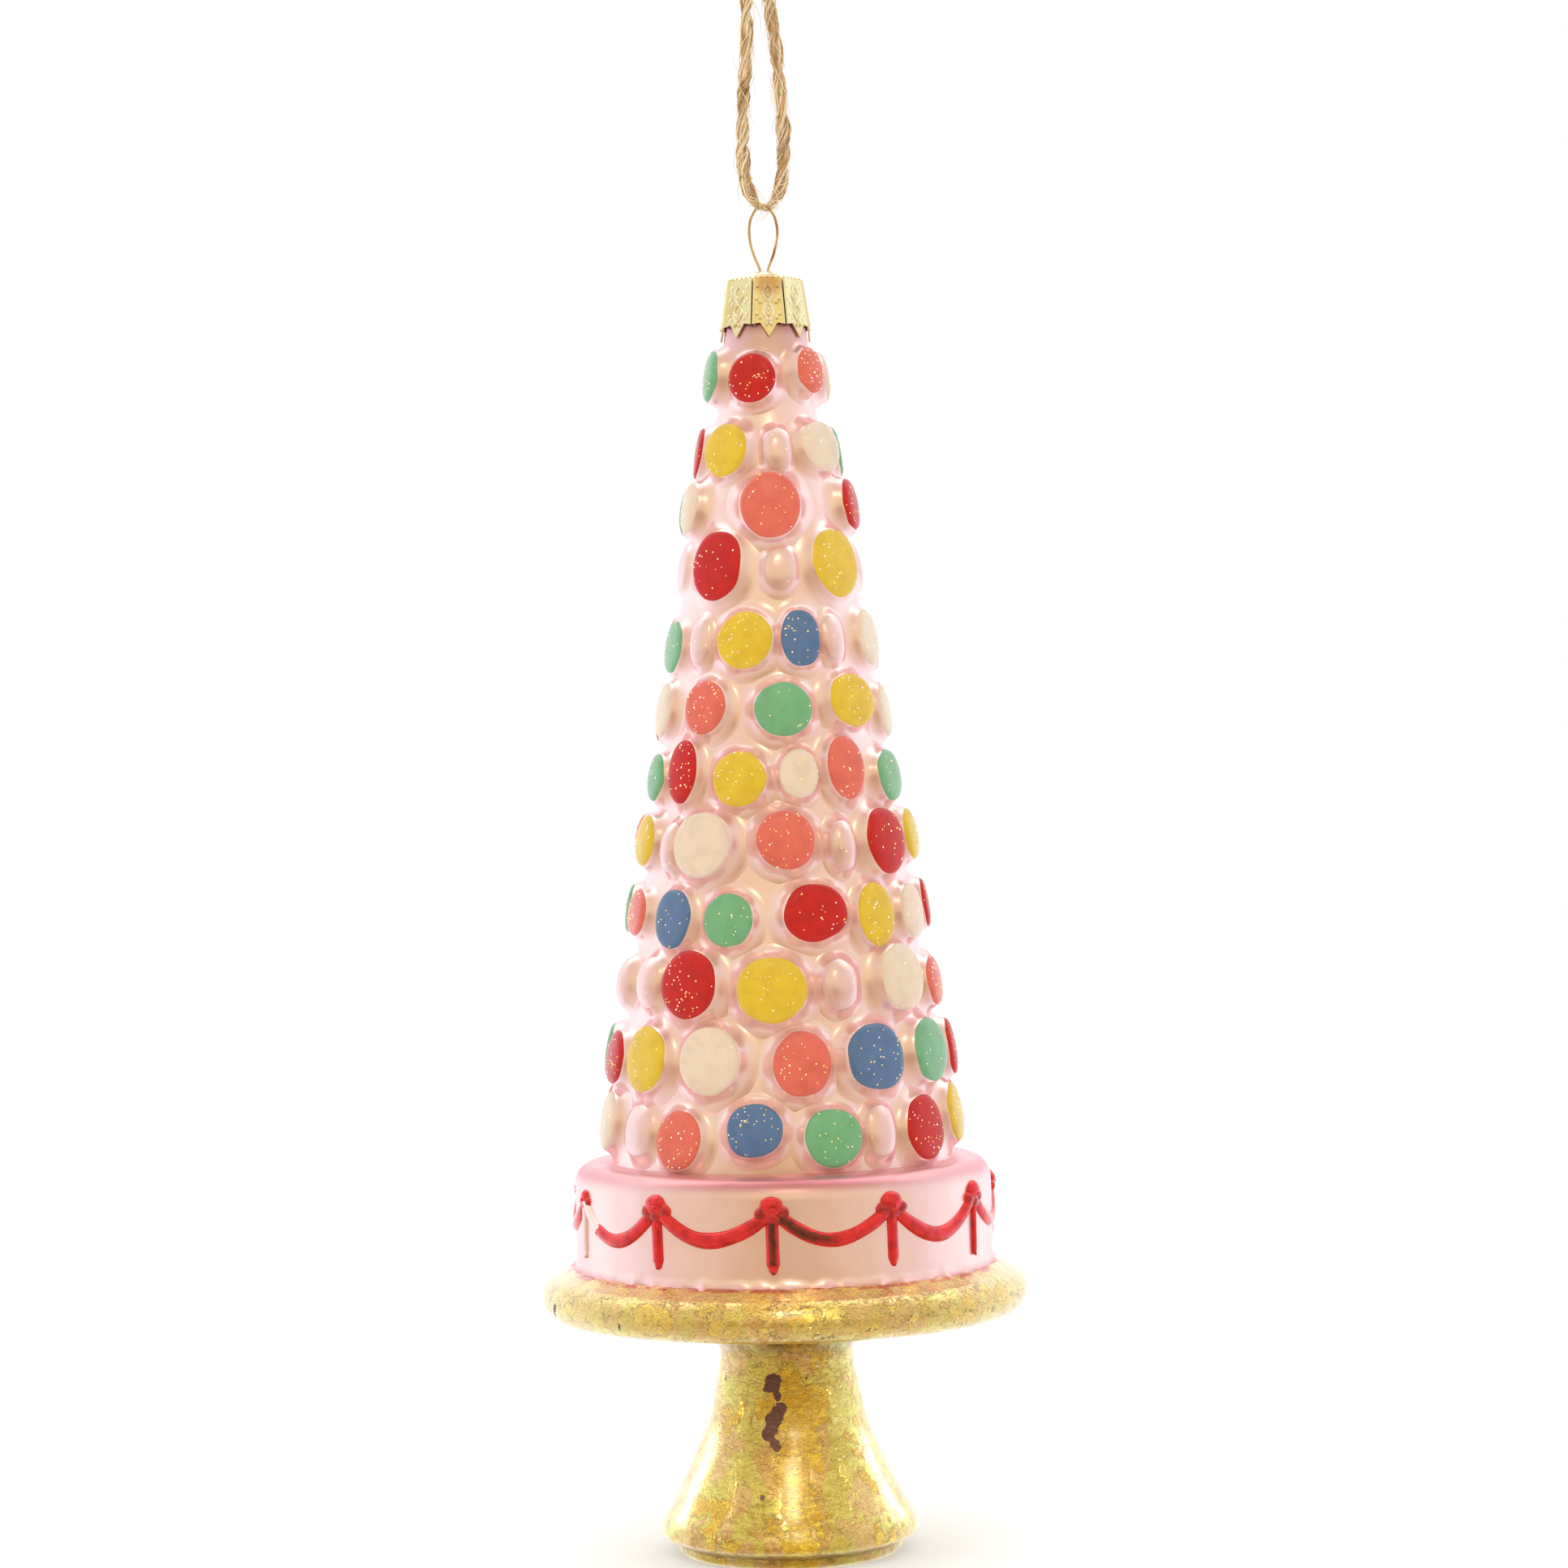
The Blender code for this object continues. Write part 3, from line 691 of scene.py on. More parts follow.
# %% [markdown]
# ## Macaron shells in the glass
#
# A macaron is a flat dome with a rounded shoulder, a steep wall and a tight foot where it grows out
# of the skin. All share one form: a disc of rings, made once, whose distance from the middle is
# looked up in a section curve. Copies of it are stretched to each macaron, and every point is set
# between the skin below it and the top of the dome.
# %% Section of a macaron
# Distance from the middle, 1 at the edge of the face, and how far up from the skin to the top.
PAINTED_SECTION = ((0.0, 1.0), (0.2, 0.995), (0.4, 0.98), (0.55, 0.955), (0.7, 0.92), (0.8, 0.885),
                   (0.88, 0.84), (0.94, 0.785), (1.0, 0.70), (1.05, 0.59), (1.10, 0.47), (1.155, 0.36),
                   (1.22, 0.255), (1.30, 0.165), (1.39, 0.092), (1.49, 0.04), (1.59, 0.01), (1.68, -0.012))
BARE_SECTION = ((0.0, 1.0), (0.2, 0.99), (0.36, 0.965), (0.5, 0.925), (0.60, 0.88), (0.68, 0.83),
                (0.76, 0.775), (0.84, 0.715), (0.92, 0.645), (1.0, 0.565), (1.06, 0.495), (1.12, 0.415),
                (1.19, 0.32), (1.27, 0.225), (1.36, 0.135), (1.46, 0.06), (1.57, 0.012), (1.68, -0.012))
SHELL_SPOKES = 48
FIRST_DEPTH = -2.0 * MM
DEPTH_ROUNDS = 6


def disc_of_rings(distances, spokes):
    """A flat disc whose rings lie at the given distances from its middle."""
    return mesh_of(turned([(distance, 0.0) for distance in distances], spokes), "disc")


def repeated(name, form, count):
    """One mesh that holds a form many times over, its points still to be placed."""
    shape = bmesh.new()
    for _ in range(count):
        shape.from_mesh(form)
    return mesh_of(shape, name)


def wavy(edge, turns, draw, waves):
    """The same edge with waves round it, each of a count and at most so high."""
    for count, most in waves:
        edge = edge + draw.uniform(-most, most) * np.sin(count * turns + draw.uniform(0, tau))
    return edge


def seed_of(macaron):
    return round(macaron["azimuth"] * 1000) + round(macaron["height"] * 1e6)


def outline_of(macaron, turns):
    """How far the edge is from round at each turn: a superellipse, squarer for a higher power."""
    draw = random.Random(seed_of(macaron))
    power = 2.3 if macaron["paint"] == "blue" else draw.uniform(1.98, 2.12)
    edge = (np.abs(np.cos(turns)) ** power + np.abs(np.sin(turns)) ** power) ** (-1.0 / power)
    return wavy(edge, turns, draw, ((2, 0.020), (3, 0.014), (4, 0.010)))


def in_world(macaron, across, along, up):
    matrix = macaron["frame"]
    return matrix[:3, 3] + np.column_stack((across, along, up)) @ matrix[:3, :3].T


def on_skin(macaron, across, along):
    """Depth below the macaron's top, along its own axis, at which the glass skin lies."""
    depth = np.full_like(across, FIRST_DEPTH)
    for _ in range(DEPTH_ROUNDS):
        place = in_world(macaron, across, along, depth)
        azimuth, reach = polar(place)
        depth = depth + 0.9 * (skin_radius(azimuth, place[:, 2]) - reach)
    return depth


def shell_height(macaron, across, along):
    """Height along the macaron's axis of its glass, at points across its face."""
    turn = np.arctan2(along / macaron["half_tall"], across / macaron["half_width"])
    far = np.hypot(across / macaron["half_width"], along / macaron["half_tall"])
    far = far / outline_of(macaron, turn)
    far = np.where(far > 1.0, 1.0 + (far - 1.0) * macaron["tight"], far)
    share = np.interp(far, *zip(*(BARE_SECTION if macaron["paint"] == "bare" else PAINTED_SECTION)))
    return (1.0 - share) * on_skin(macaron, across, along)


def on_macaron(macaron, turns, fars, lift=0.0):
    """Places on a macaron, from how far round and out they are, lifted off its glass."""
    across = fars * np.cos(turns) * macaron["half_width"]
    along = fars * np.sin(turns) * macaron["half_tall"]
    return in_world(macaron, across, along, shell_height(macaron, across, along) + lift)


def round_and_out(form):
    """Turn and distance from the middle of every point of a flat form."""
    points = mesh_points(form)
    return np.arctan2(points[:, 1], points[:, 0]), np.hypot(points[:, 0], points[:, 1])


# %% Raise the shells
shell_rings = sorted({point[0] for point in PAINTED_SECTION + BARE_SECTION})
shell_form = disc_of_rings(shell_rings, SHELL_SPOKES)
shell_mesh = repeated("macaron_shells", shell_form, len(macarons))
turns, fars = round_and_out(shell_form)
# Painted shade: a deeper rose in the crease round each painted macaron's foot, and on a bare bump a faint one
# over its dome and a stronger one round its edge, darkest on its left side.
foot = 0.14 * np.exp(-((fars - 1.07) / 0.07) ** 2)
left_side_shade = np.exp(-((fars - 0.98) / 0.12) ** 2) * (0.62 - 0.38 * np.cos(turns))
bare_shade = 0.13 * np.exp(-(fars / 0.95) ** 6) + 0.26 * left_side_shade
raised = []
shade_masks = []
for macaron in macarons:
    raised.append(on_macaron(macaron, turns, fars * outline_of(macaron, turns)))
    macaron_shade = bare_shade if macaron["paint"] == "bare" else foot
    shade_masks.append(np.maximum(macaron_shade, neck_shade(raised[-1][:, 2])))
set_points(shell_mesh, np.concatenate(raised))
set_shade_and_lacquer(shell_mesh, np.concatenate(shade_masks))
present("macaron_shells", shell_mesh, wall_finish, ["glass_body"])

# %% [markdown]
# ## Enamel
#
# The colours are thick opaque enamels. The brush leaves a rounded bead at the edge and an uneven
# outline that sometimes misses the rim of the glass. Each colour is one piece. Its skin follows the
# glass a tenth of a millimetre above it and dips in at the edge, so that the bead is real geometry
# and catches the light.
# %% Enamel finish
# Two tones of each enamel, and how milky its surface is.
ENAMELS = {
    "red": ("C00C05", "B00804", 0.1),
    "coral": ("DA614B", "CF5743", 1.0),
    "yellow": ("DBB412", "D1A80E", 1.0),
    "green": ("6CA674", "629C6A", 1.0),
    "cream": ("E0C8AE", "D8BEA3", 1.0),
    "blue": ("4C6A8E", "446285", 1.0),
}


def enamel_recipe(paint):
    """Satin enamel with faint clouds of tone and the fine grain that a brush leaves."""
    light, deep, milk = ENAMELS[paint]
    enamel = new_recipe(f"enamel_{paint}")
    place = enamel.place()
    cloud = enamel.grain(place, 1.9 * MM, 2.0)
    ripple = enamel.grain(place, 0.32 * MM, 2.0)
    body = enamel.mix(cloud.step(0.35, 0.75), light, deep)
    return enamel.surface({"Base Color": body, "Roughness": 0.24 + 0.14 * ripple,
                           "Specular IOR Level": 0.4 + 0.3 * milk,
                           "Sheen Weight": 0.12 * milk, "Sheen Roughness": 0.4,
                           "Normal": enamel.bump(ripple + 1.5 * cloud, 0.03 * MM)})


# %% Brush the enamel on
# How far out each ring lies, 1 at the edge, and how thick the enamel is there in mm.
ENAMEL_RINGS = ((0.0, 0.10), (0.15, 0.10), (0.3, 0.10), (0.45, 0.10), (0.6, 0.10), (0.72, 0.105),
                (0.82, 0.115), (0.89, 0.12), (0.94, 0.115), (0.975, 0.09), (0.995, 0.05), (1.0, 0.0),
                (0.985, -0.08))
ENAMEL_SPOKES = 44

enamel_form = disc_of_rings([index / 20 for index in range(len(ENAMEL_RINGS))], ENAMEL_SPOKES)
enamel_turns, ring_places = round_and_out(enamel_form)
enamel_fars, enamel_thick = np.array(ENAMEL_RINGS)[np.rint(20 * ring_places).astype(int)].T


def enamel_points(macaron):
    """Points of one coat of enamel on its macaron."""
    edge = wavy(outline_of(macaron, enamel_turns), enamel_turns, random.Random(7 + seed_of(macaron)),
                ((3, 0.012), (5, 0.012), (7, 0.008)))
    return on_macaron(macaron, enamel_turns, enamel_fars * edge, enamel_thick * MM)


for paint in PAINTS:
    painted = [macaron for macaron in macarons if macaron["paint"] == paint]
    mesh = repeated(f"enamel_{paint}", enamel_form, len(painted))
    set_points(mesh, np.concatenate([enamel_points(macaron) for macaron in painted]))
    present(f"enamel_{paint}", mesh, enamel_recipe(paint), ["glass_body"])

# %% [markdown]
# ## Glitter
#
# Loose flakes of foil were shaken over the wet enamel. A flake is a five-sided wafer about a
# quarter of a millimetre across. It lies nearly flat in the paint, tilted by chance, so only some of
# them flash. Gold and pearl flakes are two pieces, made of the same wafer.
# %% Scatter the flakes
# About how many flakes lie on a macaron of each colour.
FLAKES = {"red": 30, "coral": 36, "yellow": 24, "green": 16, "cream": 12, "blue": 28, "bare": 4}
FLAKE_RADIUS = (0.08 * MM, 0.165 * MM)
FLAKE_TILT = 0.38
FLAKE_LIFT = 0.11 * MM
# Every flake also glows faintly by itself: painted light that keeps it bright.
PAINTED_GLOW = 0.22


def flake_places(draw):
    """A turn and a place for every flake, sorted into gold and pearl ones."""
    kinds = {"gold": [], "pearl": []}
    for macaron in macarons:
        count = max(1, round(FLAKES[macaron["paint"]] * draw.uniform(0.5, 1.4)))
        middle = draw.uniform(0, tau)
        turn = np.array([middle + draw.gauss(0.0, 1.8) for _ in range(count)])
        far = np.sqrt(np.array([draw.uniform(0.0, 0.93) for _ in range(count)]))
        lift = 0.0 if macaron["paint"] == "bare" else FLAKE_LIFT
        for place in on_macaron(macaron, turn, far, lift):
            axis = Vector((draw.uniform(-1, 1), draw.uniform(-1, 1), 0.0)).normalized()
            size = draw.uniform(*FLAKE_RADIUS)
            tilt = Matrix.Rotation(draw.gauss(0.0, FLAKE_TILT), 3, axis)
            facing_out = Matrix(macaron["frame"].tolist()).to_3x3() @ tilt * size
            kinds["gold" if draw.random() < 0.62 else "pearl"].append((facing_out, place))
    return kinds


def foil_recipe(name, first, second):
    """Bright foil whose tint changes from flake to flake, with a faint painted glow of its own."""
    foil = new_recipe(name)
    tint = foil.grain(foil.place(), 0.9 * MM, 1.0)
    return foil.surface({"Base Color": foil.mix(tint.step(0.4, 0.6), first, second),
                         "Metallic": 0.9, "Roughness": 0.14,
                         "Emission Color": shade(first), "Emission Strength": PAINTED_GLOW})


flake_shape = bmesh.new()
bmesh.ops.create_cone(flake_shape, cap_ends=True, segments=5, radius1=1.0, radius2=0.75, depth=0.24)
flake = mesh_of(flake_shape, "flake")
flake_points = mesh_points(flake)
foils = {"gold": foil_recipe("gold_foil", "FFF2A8", "FFD766"),
         "pearl": foil_recipe("pearl_foil", "FFFAF2", "FFDCE6")}
for kind, places in flake_places(random.Random(23)).items():
    mesh = repeated(f"glitter_{kind}", flake, len(places))
    set_points(mesh, np.concatenate([flake_points @ np.array(turn).T + place for turn, place in places]))
    present(f"glitter_{kind}", mesh, foils[kind])

# %% [markdown]
# ## The drum under the tower
#
# The lowest tier is a plain drum of the same glass, whose lacquer ends on the plate in a thin wavy
# hem. It is a turned profile with a fine bead at the bottom. The bead's points are then pushed in
# and out and up and down to make the waves.
# %% Drum
DRUM_RADIUS = 26.4 * MM
DRUM_TOP = 49.6 * MM
DRUM_EDGE = 2.6 * MM
DRUM_DOME = 0.6 * MM
PLATE_TOP = 36.4 * MM
DRUM_FOOT = PLATE_TOP - 0.5 * MM
HEM_HEIGHT = 1.1 * MM
HEM_REACH = 0.8 * MM
HEM_SHADE_AND_LACQUER = 0.55 * MM
WAIST = 0.10 * MM
WAIST_WAVE = 3.1 * MM
RIM_SHADE_DROP = 0.8 * MM
RIM_SHADE_SPREAD = 1.0 * MM
DRUM_STEPS = 360

drum_outline = [(0.0, DRUM_TOP + DRUM_DOME), (12.0 * MM, DRUM_TOP + 0.75 * DRUM_DOME)]
drum_outline += arc((DRUM_RADIUS - DRUM_EDGE, DRUM_TOP - DRUM_EDGE), DRUM_EDGE, 88, 0, 14)
drum_outline += [(DRUM_RADIUS, PLATE_TOP + HEM_HEIGHT), (DRUM_RADIUS, DRUM_FOOT)]
drum_shape = turned(evenly(drum_outline, SKIN_GAP) + [(0.0, DRUM_FOOT)], DRUM_STEPS)
drum_mesh = mesh_of(drum_shape, "drum_glass")
points = mesh_points(drum_mesh)
azimuths, reaches = polar(points)
wall = reaches > 0.9 * DRUM_RADIUS
waves = ((1.0, 46, 0.0), (0.7, 31, 1.0), (0.6, 67, 2.0))
scallop = sum(share * np.sin(count * azimuths + start) for share, count, start in waves) / 2.3
hem = np.clip(1.0 - (points[:, 2] - PLATE_TOP) / (HEM_HEIGHT * (1.0 + 0.3 * scallop)), 0.0, 1.4) ** 2
hem *= wall
waist = WAIST * np.sin(5 * azimuths + 0.6) * np.sin((points[:, 2] - PLATE_TOP) / WAIST_WAVE)
grow = hem * HEM_REACH * (0.55 + 0.45 * scallop) + waist * wall
points[:, :2] *= (1.0 + grow / np.maximum(reaches, AXIS_GAP))[:, None]
set_points(drum_mesh, points)
# Painted shade: a band of deeper rose along the drum's upper edge, a little uneven round it.
rim_shade = np.exp(-((points[:, 2] - DRUM_TOP + RIM_SHADE_DROP) / RIM_SHADE_SPREAD) ** 2)
rim_shade *= 0.8 + 0.2 * np.sin(3 * azimuths + 1.4)
# Along the hem the deeper rose is partly the lacquer's own edge and partly a painted contact shadow.
edge = np.clip(1.0 - (points[:, 2] - PLATE_TOP) / (HEM_SHADE_AND_LACQUER * (1.0 + 0.4 * scallop)), 0.0, 1.0) * (hem > 0)
set_shade_and_lacquer(drum_mesh, np.clip(0.55 * edge + 0.85 * rim_shade, 0.0, 0.9))
drum_finish = pink_glass_recipe("pink_pearl_drum", 0.28, "C0606E")
present("drum_glass", drum_mesh, drum_finish, ["glass_body"])

# %% [markdown]
# ## Piped swags
#
# Eleven swags hang between rosettes, with a drop under each. They are moulded ribs in a clear red
# lacquer over silver, dark where the room is dark and bright where it is bright, with dark brown
# painted along their backs as dark reflection and shade. A band is a round strand sunk into the wall
# until only its back shows.
# %% Swags
SWAG_PHASE = -3.2
SWAG_TOP = 45.8 * MM
SWAG_BAND = 1.12 * MM
RELIEF = 0.55 * MM
BAND_STEPS = 30
BAND_SAG = 0.1 * MM
BAND_WOBBLE = 0.10 * MM
# How far down a drop, and what share of its full width it has there.
DROP_TAPER = ((0.0, 0.9), (0.2, 0.94), (0.45, 0.93), (0.7, 0.96), (0.84, 1.0), (0.91, 0.93), (0.96, 0.62),
              (0.99, 0.28), (1.0, 0.1))
# How strong the painted dark brown is in the lower and the upper blobs of a rosette: painted shade, deeper in
# the lower ones.
LOW_BLOB_SHADE = 0.55
HIGH_BLOB_SHADE = 0.1
# Across, up, width, tallness and thickness of each blob of a rosette, in mm.
ROSETTE_BLOBS = ((0.0, 0.32, 1.52, 1.32, 0.84), (-1.22, -0.42, 0.92, 0.80, 0.66),
                 (1.24, -0.30, 0.92, 0.82, 0.66), (0.15, -0.95, 1.12, 0.84, 0.70),
                 (0.15, 0.05, 0.60, 0.52, 1.00))
# Dip, drop's length and width in mm, then how strong the painted dark reflection is along the band's and the
# drop's back.
SWAGS = ((3.6, 7.65, 1.60, 1.0, 1.0), (4.0, 7.3, 1.45, 0.1, 0.0), (3.8, 7.6, 0.80, 0.0, 0.0),
         (3.7, 7.4, 1.45, 0.3, 0.1), (3.9, 7.3, 1.30, 0.1, 0.0), (3.6, 7.6, 1.50, 0.8, 0.7),
         (3.8, 7.4, 1.40, 0.1, 0.0), (4.0, 7.5, 1.30, 0.3, 0.2), (3.7, 7.3, 1.45, 0.1, 0.0),
         (4.3, 7.2, 1.20, 0.0, 0.0), (3.6, 7.3, 1.45, 0.15, 0.0))
# The brush missed the start of one swag, whose paint begins this far along it.
UNPAINTED = 9
PAINT_STARTS = 0.22
PITCH = 360.0 / len(SWAGS)


def on_drum(azimuth, height, stand):
    """A place that stands so far out from the drum's wall."""
    return facing(azimuth, DRUM_RADIUS + stand, height).to_translation()


def add_rosette(shape, azimuth, size, draw):
    """Five blobs of paint that run together, over the end of a swag."""
    layer = shape.verts.layers.float["tone"]
    for across, up, wide, tall, thick in ROSETTE_BLOBS:
        place = facing(azimuth, DRUM_RADIUS, SWAG_TOP)
        place = place @ Matrix.Translation(Vector((across, up, 0.0)) * MM * size)
        seed = Vector((azimuth, draw.uniform(0, 9), across))
        blob = bmesh.ops.create_uvsphere(shape, u_segments=20, v_segments=12, radius=1.0)
        for vert in blob["verts"]:
            swell = 1.0 + 0.12 * noise.noise(vert.co * 1.5 + seed)
            spot = Vector((vert.co.x * wide, vert.co.y * tall, vert.co.z * thick)) * MM * size * swell
            vert[layer] = LOW_BLOB_SHADE if up < 0.0 else HIGH_BLOB_SHADE
            vert.co = place @ spot


def add_band(shape, azimuth, dip, dark, radius, draw, start=0.0, end=1.0):
    """One garland between two rosettes. Its painted dark reflection fades along it."""
    line = []
    widths = []
    wobble = draw.uniform(0, tau)
    for step in range(BAND_STEPS + 1):
        part = start + (end - start) * step / BAND_STEPS
        width = radius * (0.74 + 0.26 * sin(pi * part) + 0.04 * sin(19.0 * part + wobble))
        width *= min(1.0, 0.35 + (part - start) / 0.05) if start else 1.0
        drop = dip * MM * 4.0 * part * (1.0 - part) + BAND_WOBBLE * sin(9.0 * part + wobble)
        line.append(on_drum(azimuth + PITCH * part, SWAG_TOP - BAND_SAG - drop, RELIEF - width))
        widths.append(width)
    first = len(shape.verts)
    add_strand(shape, line, widths, sides=12, tone=dark)
    layer = shape.verts.layers.float["tone"]
    shape.verts.ensure_lookup_table()
    for vert in shape.verts[first:]:
        away = (vert.co - line[0]).length / (line[-1] - line[0]).length
        vert[layer] = dark * max(0.0, 1.0 - (away / 0.8) ** 2)


def add_drop(shape, azimuth, length, width, dark, draw):
    """A drop under a rosette, which hangs a little aslant."""
    lean = draw.uniform(-0.5, 0.5)
    parts, shares = np.array(DROP_TAPER).T
    widths = 0.62 * width * MM * shares
    line = smooth_route([on_drum(azimuth + lean * part, SWAG_TOP - length * MM * part, 0.9 * RELIEF - thick)
                         for part, thick in zip(parts, widths)], 3)
    steps = np.linspace(0, len(widths) - 1, len(line))
    add_strand(shape, line, np.interp(steps, range(len(widths)), widths), sides=12, tone=dark)


def swag_recipe():
    """Clear red lacquer of uneven depth. Dark brown is painted along the backs of the ribs as dark reflection
    and shade.
    """
    red = new_recipe("clear_red_lacquer")
    place = red.place()
    pool = red.grain(place, 1.3 * MM, 3.0)
    ripple = red.grain(place, 0.45 * MM, 2.0)
    back = red.reach().step(DRUM_RADIUS + 0.20 * MM, DRUM_RADIUS + 0.48 * MM)
    # A painted dark reflection, and in the rosettes painted shade, along the backs of the ribs.
    painted_dark_core = (back * red.attribute("tone") * (0.35 + 1.2 * pool)).step(0.10, 0.95)
    body = red.coats(red.mix(pool.step(0.40, 0.72), "E0262A", "B8171C"), (0.9 * painted_dark_core, "46241A"))
    return red.surface({"Base Color": body, "Metallic": 0.45, "Roughness": 0.20 + 0.10 * ripple,
                        "Specular IOR Level": 0.4, "Coat Weight": 0.5, "Coat Roughness": 0.08,
                        "Normal": red.bump(0.5 * ripple + pool, 0.08 * MM)})


draw = random.Random(5)
swag_shape = toned_shape()
bare_shape = toned_shape()
for index, (dip, length, width, band_dark, drop_dark) in enumerate(SWAGS):
    azimuth = SWAG_PHASE + index * PITCH
    bare = index == UNPAINTED
    if bare:
        add_band(bare_shape, azimuth, dip, 0.0, 0.85 * SWAG_BAND, draw, end=PAINT_STARTS + 0.05)
    add_band(swag_shape, azimuth, dip, band_dark, SWAG_BAND, draw, start=PAINT_STARTS if bare else 0.0)
    add_drop(bare_shape if bare else swag_shape, azimuth, length, width, drop_dark, draw)
    add_rosette(swag_shape, azimuth, 0.75 if bare else 1.0, draw)
present("red_swags", close_strands(swag_shape), swag_recipe(), ["glass_body"])
present("bare_swag", close_strands(bare_shape), skin_finish, ["glass_body"])

# %% [markdown]
# ## The gilded stand
#
# Plate, stem and foot are covered with metal leaf: brittle sheets, laid over each other and rubbed
# down. They wrinkle, tear and show older layers, from greenish brass to copper and bare brown size,
# under a thin varnish that turns the flanks pale. Some colour is painted light: a gold strip down the
# stem's middle and green strips beside it are painted reflections, and fine flecks, the folds, the top
# of the stem under the plate and the foot's groove carry painted glints and shade. The profile is the
# solid's own. The wrinkles that break the outline are real relief, and the finest ones are left to bump.
# %% Stand
PLATE_RADIUS = 30.9 * MM
PLATE_RIM = 32.8 * MM
PLATE_EDGE = 2.8 * MM
STAND_STEPS = 400
STAND_GAP = 0.34 * MM
CRINKLE = 0.045 * MM
SMOOTH_BELOW = 0.2 * MM
SMOOTH_WITHIN = 5.0 * MM
STEM_STATIONS = ((16.5, 30.35), (11.0, 28.3), (8.9, 26.4), (8.5, 24.4), (9.25, 20.8), (9.95, 17.0),
                 (10.9, 14.5), (12.6, 10.8), (14.5, 7.0), (15.9, 4.6), (16.3, 3.3), (16.1, 2.3),
                 (14.3, 1.3), (14.2, 0.5), (13.6, 0.0))

stem_route = smooth_route([Vector(point) * MM for point in STEM_STATIONS], 6)
stand_outline = [(DRUM_RADIUS - 1.0 * MM, PLATE_TOP), (DRUM_RADIUS + 0.6 * MM, PLATE_TOP)]
stand_outline += arc((PLATE_RADIUS - PLATE_EDGE, PLATE_RIM), PLATE_EDGE, 75, -80, 20)
stand_outline += [(place.x, max(place.y, 0.0)) for place in stem_route]
stand_profile = [(0.0, PLATE_TOP)] + evenly(stand_outline, STAND_GAP) + [(0.0, 0.0)]
stand_shape = turned(stand_profile, STAND_STEPS)
stand_shape.normal_update()
for vert in stand_shape.verts:
    if vert.co.z > SMOOTH_BELOW and vert.co.xy.length > SMOOTH_WITHIN:
        place = vert.co / MM
        lump = noise.noise(place * 0.16) + 0.6 * noise.noise(place * 0.45)
        crest = noise.noise(Vector((place.x * 0.7, place.y * 0.7, place.z * 1.3)) + Vector((7, 3, 1)))
        torn = max(1.0 - 4.0 * abs(crest), 0.0) * max(noise.noise(place * 0.3 + Vector((4, 4, 4))) + 0.2, 0.0)
        vert.co += vert.normal * CRINKLE * (1.1 * lump + 1.0 * torn)

# Middle across and up, then radius, in mm, of the spots where the leaf has worn off the stem.
WORN_SPOTS = ((-1.9, 22.4, 1.15), (-1.2, 20.7, 0.50), (-1.0, 19.3, 0.85), (-1.8, 17.9, 1.10),
              (-2.4, 16.3, 0.95), (-1.7, 14.9, 0.70), (-3.4, 8.9, 0.35))
STEM_CORNER = 28.4 * MM
STAIN_REACH = 27.1 * MM
GROOVE = 1.7 * MM
stem_radii, stem_heights = np.array(stem_route[::-1]).T


